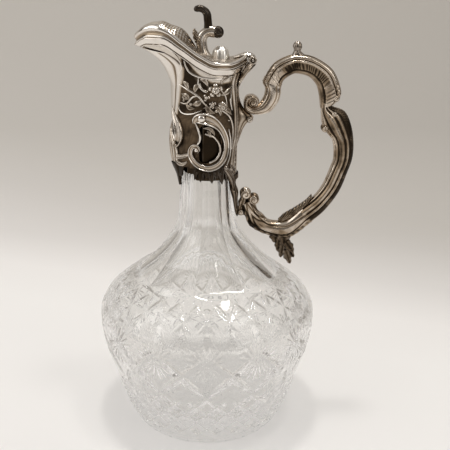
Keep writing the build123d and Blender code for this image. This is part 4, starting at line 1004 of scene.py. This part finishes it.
# The ribbed shell over the front of the lid.
SHELL_FRONT, SHELL_BACK = -43, -7.4
shell_half = smooth([(-43, .6), (-42, 3.4), (-39.5, 6.6), (-35, 9.6), (-29, 11.4), (-21, 11.6),
                     (-15, 9.4), (-11, 7), (-7.4, 2.2)])
shell_top = smooth([(-43, 276.6), (-39.5, 278.9), (-35, 280.5), (-29, 280.9), (-23.5, 278.8), (-17, 276.6),
                    (-13.4, 273.6), (-11, 270.2), (-8.6, 266.6), (-7.4, 264)])
shell_x = np.linspace(SHELL_FRONT, SHELL_BACK, 130)[:, None]
columns = np.linspace(-1, 1, 121)
rib = np.cos(columns * 6.5 * math.pi) ** 2
frill = 0.5 + 0.5 * np.cos(shell_x * TURN / 1.7 + np.abs(columns) * 9)
base = rim(shell_x) + 3.0
feathered = unit((shell_x + 32) / 5)
crown = (1 - np.abs(columns) ** 2.4) ** 0.75
shell_z = (base + (shell_top(shell_x) - base) * crown * (1 - 0.05 * feathered * (1 - rib))
           + 0.12 * (frill - 0.5) * feathered)
shell_points = points_of(shell_x, columns * shell_half(shell_x), shell_z)
shell_dirt = feathered * (0.25 * (1 - rib) ** 1.5 + 0.5 * (1 - frill) ** 2) + np.abs(columns) ** 14
piece("lid_shell_ribbed", [grid(shell_points, unit(shell_dirt))], BRIGHT_SILVER, "lid",
      ["lid_shell"])

# The raised flower behind the thumbpiece.
FLOWER_X, FLOWER_RADIUS, FLOWER_FOOT, FLOWER_RISE = 8.3, 6.1, 254.9, 10.5
angle, share = around(72), down(26)
lobes = np.abs(np.cos(angle * 3.5))
flower_z = (FLOWER_FOOT + FLOWER_RISE * (1 - share ** 4) ** 0.5 * (0.96 + 0.04 * lobes * share)
            + 0.3 * np.cos(share * 15))
flower = ring_points(FLOWER_RADIUS * share * (0.96 + 0.04 * lobes), angle, flower_z) + (FLOWER_X, 0, 0)
piece("lid_flower_boss", [grid(flower[::-1], unit(0.2 * (1 - lobes) * share)[::-1],
                               wrap_cols=True)], RUBBED_SILVER, "lid", ["lid_boss"])

LID_LEAF = [(31.2, 258.6), (30.2, 260.3), (27.6, 261.6), (24.2, 261.7), (20.4, 260.6), (17, 259.2),
            (16.6, 258.4), (20.6, 259.2), (24.4, 260), (27, 259), (28.9, 257.4)]
LID_BARREL = [(-3.8, 1.1, 1), (-3.8, 2.3, .7), (-3.6, 2.6, .1), (-1.4, 2.6, 0), (-1.2, 2.35, .9),
              (-1, 2.6, 0), (1, 2.6, 0), (1.2, 2.35, .9), (1.4, 2.6, 0), (3.6, 2.6, .1),
              (3.8, 2.3, .7), (3.8, 1.1, 1)]
leaf_slab = slab(LID_LEAF, (-3.75, -3.4, -1.2, 0, 1.2, 3.4, 3.75), droop=0.12)
piece("lid_knuckle_leaf", [turned(LID_BARREL), grid(leaf_slab, 0.15, cap=True)], BRIGHT_SILVER, "lid",
      ["lid_knuckle"])

# ------------------------------------------------------------------ thumbpiece
STEM = [((-7.4, 257.6), (4.2, 256.6), 8), ((-6.6, 260.4), (1.8, 260.4), 7.2),
        ((-6.9, 263.6), (.3, 263.2), 6.6), ((-7.6, 268), (-.6, 267.6), 6.6),
        ((-6.6, 272.8), (-.3, 270), 6.8), ((-3, 276.4), (.8, 271), 7),
        ((1.6, 278.2), (2.2, 270.8), 7.2), ((5.2, 277.6), (5, 270.6), 7.2),
        ((7.8, 275.7), (7.5, 272.2), 6), ((8.6, 274.3), (8.5, 273.4), 2.4)]
STALK = [((3.4, 275), (-2.8, 275), 5.8), ((2.9, 278.6), (-2.4, 278.6), 5.4),
         ((2.5, 282), (-2.7, 282), 5.2), ((2.1, 285.2), (-3, 284.4), 5.2),
         ((.6, 288), (-3.9, 285.8), 5.2), ((-2.2, 290), (-5.4, 286.4), 5.2),
         ((-5.2, 290.8), (-6.9, 286.4), 5.2), ((-8, 290), (-8.5, 286.9), 4.4),
         ((-8.9, 288.8), (-9, 288), 1.6)]
SIDE_LEAF = [((-4.8, 264.6), (-2.4, 266.8), 4.6), ((-8.4, 268.2), (-4.6, 270.4), 5.2),
             ((-9.6, 272.2), (-6.2, 273), 5), ((-9.6, 275), (-7.8, 275.6), 3.4),
             ((-8.6, 276.2), (-8.2, 276.2), 1.4)]


def thumb_relief(u, s, total):
    lines = ridge_at(u, 0.35, 0.08) + ridge_at(u, -0.4, 0.08)
    return -0.22 * lines, unit(0.5 * lines + 0.1 + 0 * s)


piece("thumbpiece_scroll", [bar(STEM, 110, thumb_relief, 48, 0.9), bar(SIDE_LEAF, 40, leaf_relief, 32, 0.9)],
      CHASED_SILVER, "lid", ["thumbpiece"])
piece("thumbpiece_hook", [bar(STALK, 110, thumb_relief, 48, 0.95), knob(6.6, 274.1, 3.3, 4.1, spin=0.3)],
      BLACKENED_SILVER, "lid", [])

RIVET_X, RIVET_TILT = -1.5, 0.5
rivet_r, rivet_z = columns_of([(.05, 256.2), (1.4, 256.25), (2.4, 256.5), (2.9, 256.9), (3, 257.4),
                               (3, 258.2)])
rivet = ring_points(rivet_r, angle, rivet_z)
rivet[..., 2] -= RIVET_TILT * rivet[..., 0]
piece("thumbpiece_rivet_head", [grid((rivet + (RIVET_X, 0, 0))[::-1], 0.2, wrap_cols=True)], PIN_METAL,
      "lid", ["thumbpiece_rivet"])

# ------------------------------------------------------------------ finish on what stays as CAD
cement_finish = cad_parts["neck_cement"].data.materials
cement_finish.clear()
cement_finish.append(PLASTER)

# ------------------------------------------------------------------ table, wall and light
# Tones along the table and up the wall: distance back from the jug plus height, then the colour. Besides the
# wall's warmer tone, their fall back along the table, up the wall and towards +X is painted shade.
TABLE_TONES = [(-.10, (.835, .81, .785)), (.12, (.86, .835, .805)), (.20, (.83, .80, .77)),
               (.29, (.70, .67, .64)), (.41, (.585, .555, .52)), (.50, (.535, .505, .465)),
               (.62, (.505, .475, .435)), (.95, (.45, .42, .38))]
# Seen through a steep cut the far parts of the room are in shade: the ends of the table, the wall
# above the jug and the table in front of it. For each: where shade starts and ends, and what it leaves.
SHADES = {"X": (0.2, 0.36, 0.6), "Z": (0.16, 0.3, 0.7), "Y": (-0.15, -0.4, 0.35)}
# How much of its own glow the table shows to each kind of ray; the rest is lit by the lamps.
GLOW_SEEN, GLOW_THROUGH_GLASS, GLOW_IN_METAL = 0.55, 0.12, 0.5


def backdrop():
    """A pale table that sweeps up into a warm grey wall."""
    mat, tree, shader, place = material("table_and_wall")
    split = tree.nodes.new("ShaderNodeSeparateXYZ")
    feed(tree, split.inputs, {0: place})
    axis = split.outputs
    back = maths(tree, "ADD", axis["Y"], axis["Z"])
    # X leans the tones so that they darken sooner towards +X: painted shade.
    aslant = maths(tree, "MULTIPLY_ADD", axis["X"], 0.35, back)
    first, last = TABLE_TONES[0][0], TABLE_TONES[-1][0]
    share = node(tree, "MapRange", {"Value": aslant, "From Min": first, "From Max": last}, "Result")
    tones = ramp(tree, share, [((at - first) / (last - first), colour) for at, colour in TABLE_TONES])
    feed(tree, shader, {"Base Color": tones, "Roughness": 0.9, "Specular IOR Level": 0.0})
    ray = tree.nodes.new("ShaderNodeLightPath").outputs
    through_cuts = ray["Is Transmission Ray"]
    for name, (start, end, left) in SHADES.items():
        where = maths(tree, "ABSOLUTE", axis["X"]) if name == "X" else axis[name]
        limits = {"Value": where, "From Min": start, "From Max": end, "To Min": 1.0, "To Max": left}
        shade = node(tree, "MapRange", limits, "Result", interpolation_type="SMOOTHSTEP")
        through_cuts = maths(tree, "MULTIPLY", through_cuts, shade)
    shaded = maths(tree, "SUBTRACT", ray["Is Transmission Ray"], through_cuts)
    glow = node(tree, "Emission", {"Color": tones, "Strength": maths(tree, "SUBTRACT", 1.0, shaded)})
    seen = maths(tree, "MULTIPLY", ray["Is Camera Ray"], GLOW_SEEN)
    glassy = maths(tree, "MULTIPLY_ADD", ray["Is Transmission Ray"], GLOW_THROUGH_GLASS, seen)
    glowing = maths(tree, "MULTIPLY_ADD", ray["Is Glossy Ray"], GLOW_IN_METAL, glassy, clamp=True)
    lit = tree.nodes["Principled BSDF"].outputs["BSDF"]
    feed(tree, tree.nodes["Material Output"].inputs,
         {"Surface": node(tree, "MixShader", {0: glowing, 1: lit, 2: glow})})
    return mat


# The table's profile: flat to the foot of the wall, a quarter round, and the wall itself.
WALL_FOOT, WALL_ROUND, WALL_LEAN, WALL_TOP = 0.37, 0.12, 0.13, 1.6
profile = [(-2.2, 0.0), (WALL_FOOT, 0.0)]
profile += [(WALL_FOOT + WALL_ROUND * math.sin(a), WALL_ROUND - WALL_ROUND * math.cos(a))
            for a in np.linspace(0.1, 1.5, 14)]
profile += [(WALL_FOOT + WALL_LEAN, WALL_TOP)]
verts, quads, _, _ = grid([[(x, y, z) for x in (-2.5, -0.8, 0.8, 2.5)] for y, z in profile])
mesh = bpy.data.meshes.new("table_sweep")
mesh.from_pydata(verts.tolist(), [], quads[0].tolist())
mesh.polygons.foreach_set("use_smooth", [True] * len(mesh.polygons))
mesh.materials.append(backdrop())
table = bpy.data.objects.new("table_sweep", mesh)
bpy.context.scene.collection.objects.link(table)


def lamp(name, place, target, size, power, tint):
    data = bpy.data.lights.new(name, "AREA")
    data.shape = "RECTANGLE"
    data.size, data.size_y = size
    data.energy = power
    data.color = tint
    obj = bpy.data.objects.new(name, data)
    obj.location = place
    obj.rotation_euler = (Vector(target) - Vector(place)).to_track_quat("-Z", "Y").to_euler()
    bpy.context.scene.collection.objects.link(obj)


lamp("ceiling_lamp", (-0.03, 0.03, 1.3), (0, 0, 0.1), (0.13, 0.13), 6.0, (1, 0.985, 0.96))
lamp("ceiling_lamp_right", (0.3, -0.15, 1.25), (0, 0, 0.1), (0.13, 0.13), 2.4, (1, 0.985, 0.96))
lamp("left_window", (-1.1, -0.5, 0.75), (0, 0, 0.15), (0.9, 1.0), 6.0, (1, 0.99, 0.98))
lamp("right_lamp", (0.9, -0.9, 0.8), (0, 0, 0.2), (0.6, 0.8), 3.0, (1, 0.97, 0.93))

# The room from below to above, as metal shows it and as it is seen through the glass.
ROOM_IN_METAL = [(0, (.45, .40, .35)), (.46, (.06, .05, .042)), (.56, (.48, .43, .375)),
                 (.66, (.09, .078, .065)), (.76, (.80, .745, .69)), (1, (1, .98, .95))]
ROOM_THROUGH_GLASS = [(0, (.60, .58, .55)), (.52, (.52, .50, .47)), (.60, (.22, .21, .195)),
                      (.70, (.34, .325, .30)), (.80, (.9, .88, .85)), (1, (1, .985, .96))]
ROOM_IN_VIEW = (0.72, 0.69, 0.66, 1)


def room():
    """A world with bands of light and dark for metal and glass, and one pale tone for the camera."""
    world = bpy.data.worlds.new("room")
    world.use_nodes = True
    tree = world.node_tree
    split = tree.nodes.new("ShaderNodeSeparateXYZ")
    feed(tree, split.inputs, {0: node(tree, "TexCoord", {}, "Generated")})
    up = node(tree, "MapRange", {"Value": split.outputs["Z"], "From Min": -1.0}, "Result")
    ray = tree.nodes.new("ShaderNodeLightPath").outputs
    seen, through_glass = ray["Is Camera Ray"], ray["Is Transmission Ray"]
    mirrored_room, clear_room = ramp(tree, up, ROOM_IN_METAL), ramp(tree, up, ROOM_THROUGH_GLASS)
    tones = {"Factor": through_glass, "A": mirrored_room, "B": clear_room}
    tones = {"Factor": seen, "A": node(tree, "Mix", tones, "Result", data_type="RGBA"), "B": ROOM_IN_VIEW}
    direct = maths(tree, "MAXIMUM", seen, through_glass)
    feed(tree, tree.nodes["Background"].inputs,
         {"Color": node(tree, "Mix", tones, "Result", data_type="RGBA"),
          "Strength": maths(tree, "MULTIPLY_ADD", direct, 0.5, 0.5)})
    return world


bpy.context.scene.world = room()

# ------------------------------------------------------------------ camera
CAMERA_BACK, CAMERA_UP, CAMERA_PITCH, CAMERA_ROLL = 0.480, 0.3125, 19.46, -0.17
FOCAL_PIXELS, AXIS_LEFT = 726.2, 17.01
camera_data = bpy.data.cameras.new("photo_camera")
camera_data.sensor_fit = "HORIZONTAL"
camera_data.sensor_width = 36.0
camera_data.lens = camera_data.sensor_width * FOCAL_PIXELS / PHOTO_WIDTH
camera_data.shift_x = AXIS_LEFT / PHOTO_WIDTH
camera_data.clip_start = 0.01
camera = bpy.data.objects.new("photo_camera", camera_data)
camera.location = (0, -CAMERA_BACK, CAMERA_UP)
camera.rotation_euler = (math.radians(90 - CAMERA_PITCH), math.radians(CAMERA_ROLL), 0)
bpy.context.scene.collection.objects.link(camera)
bpy.context.scene.camera = camera
bpy.context.scene.view_settings.view_transform = "Standard"
# Light crosses the cut glass many times before it leaves it.
for kind in ("max_bounces", "glossy_bounces", "transmission_bounces"):
    setattr(bpy.context.scene.cycles, kind, 18)
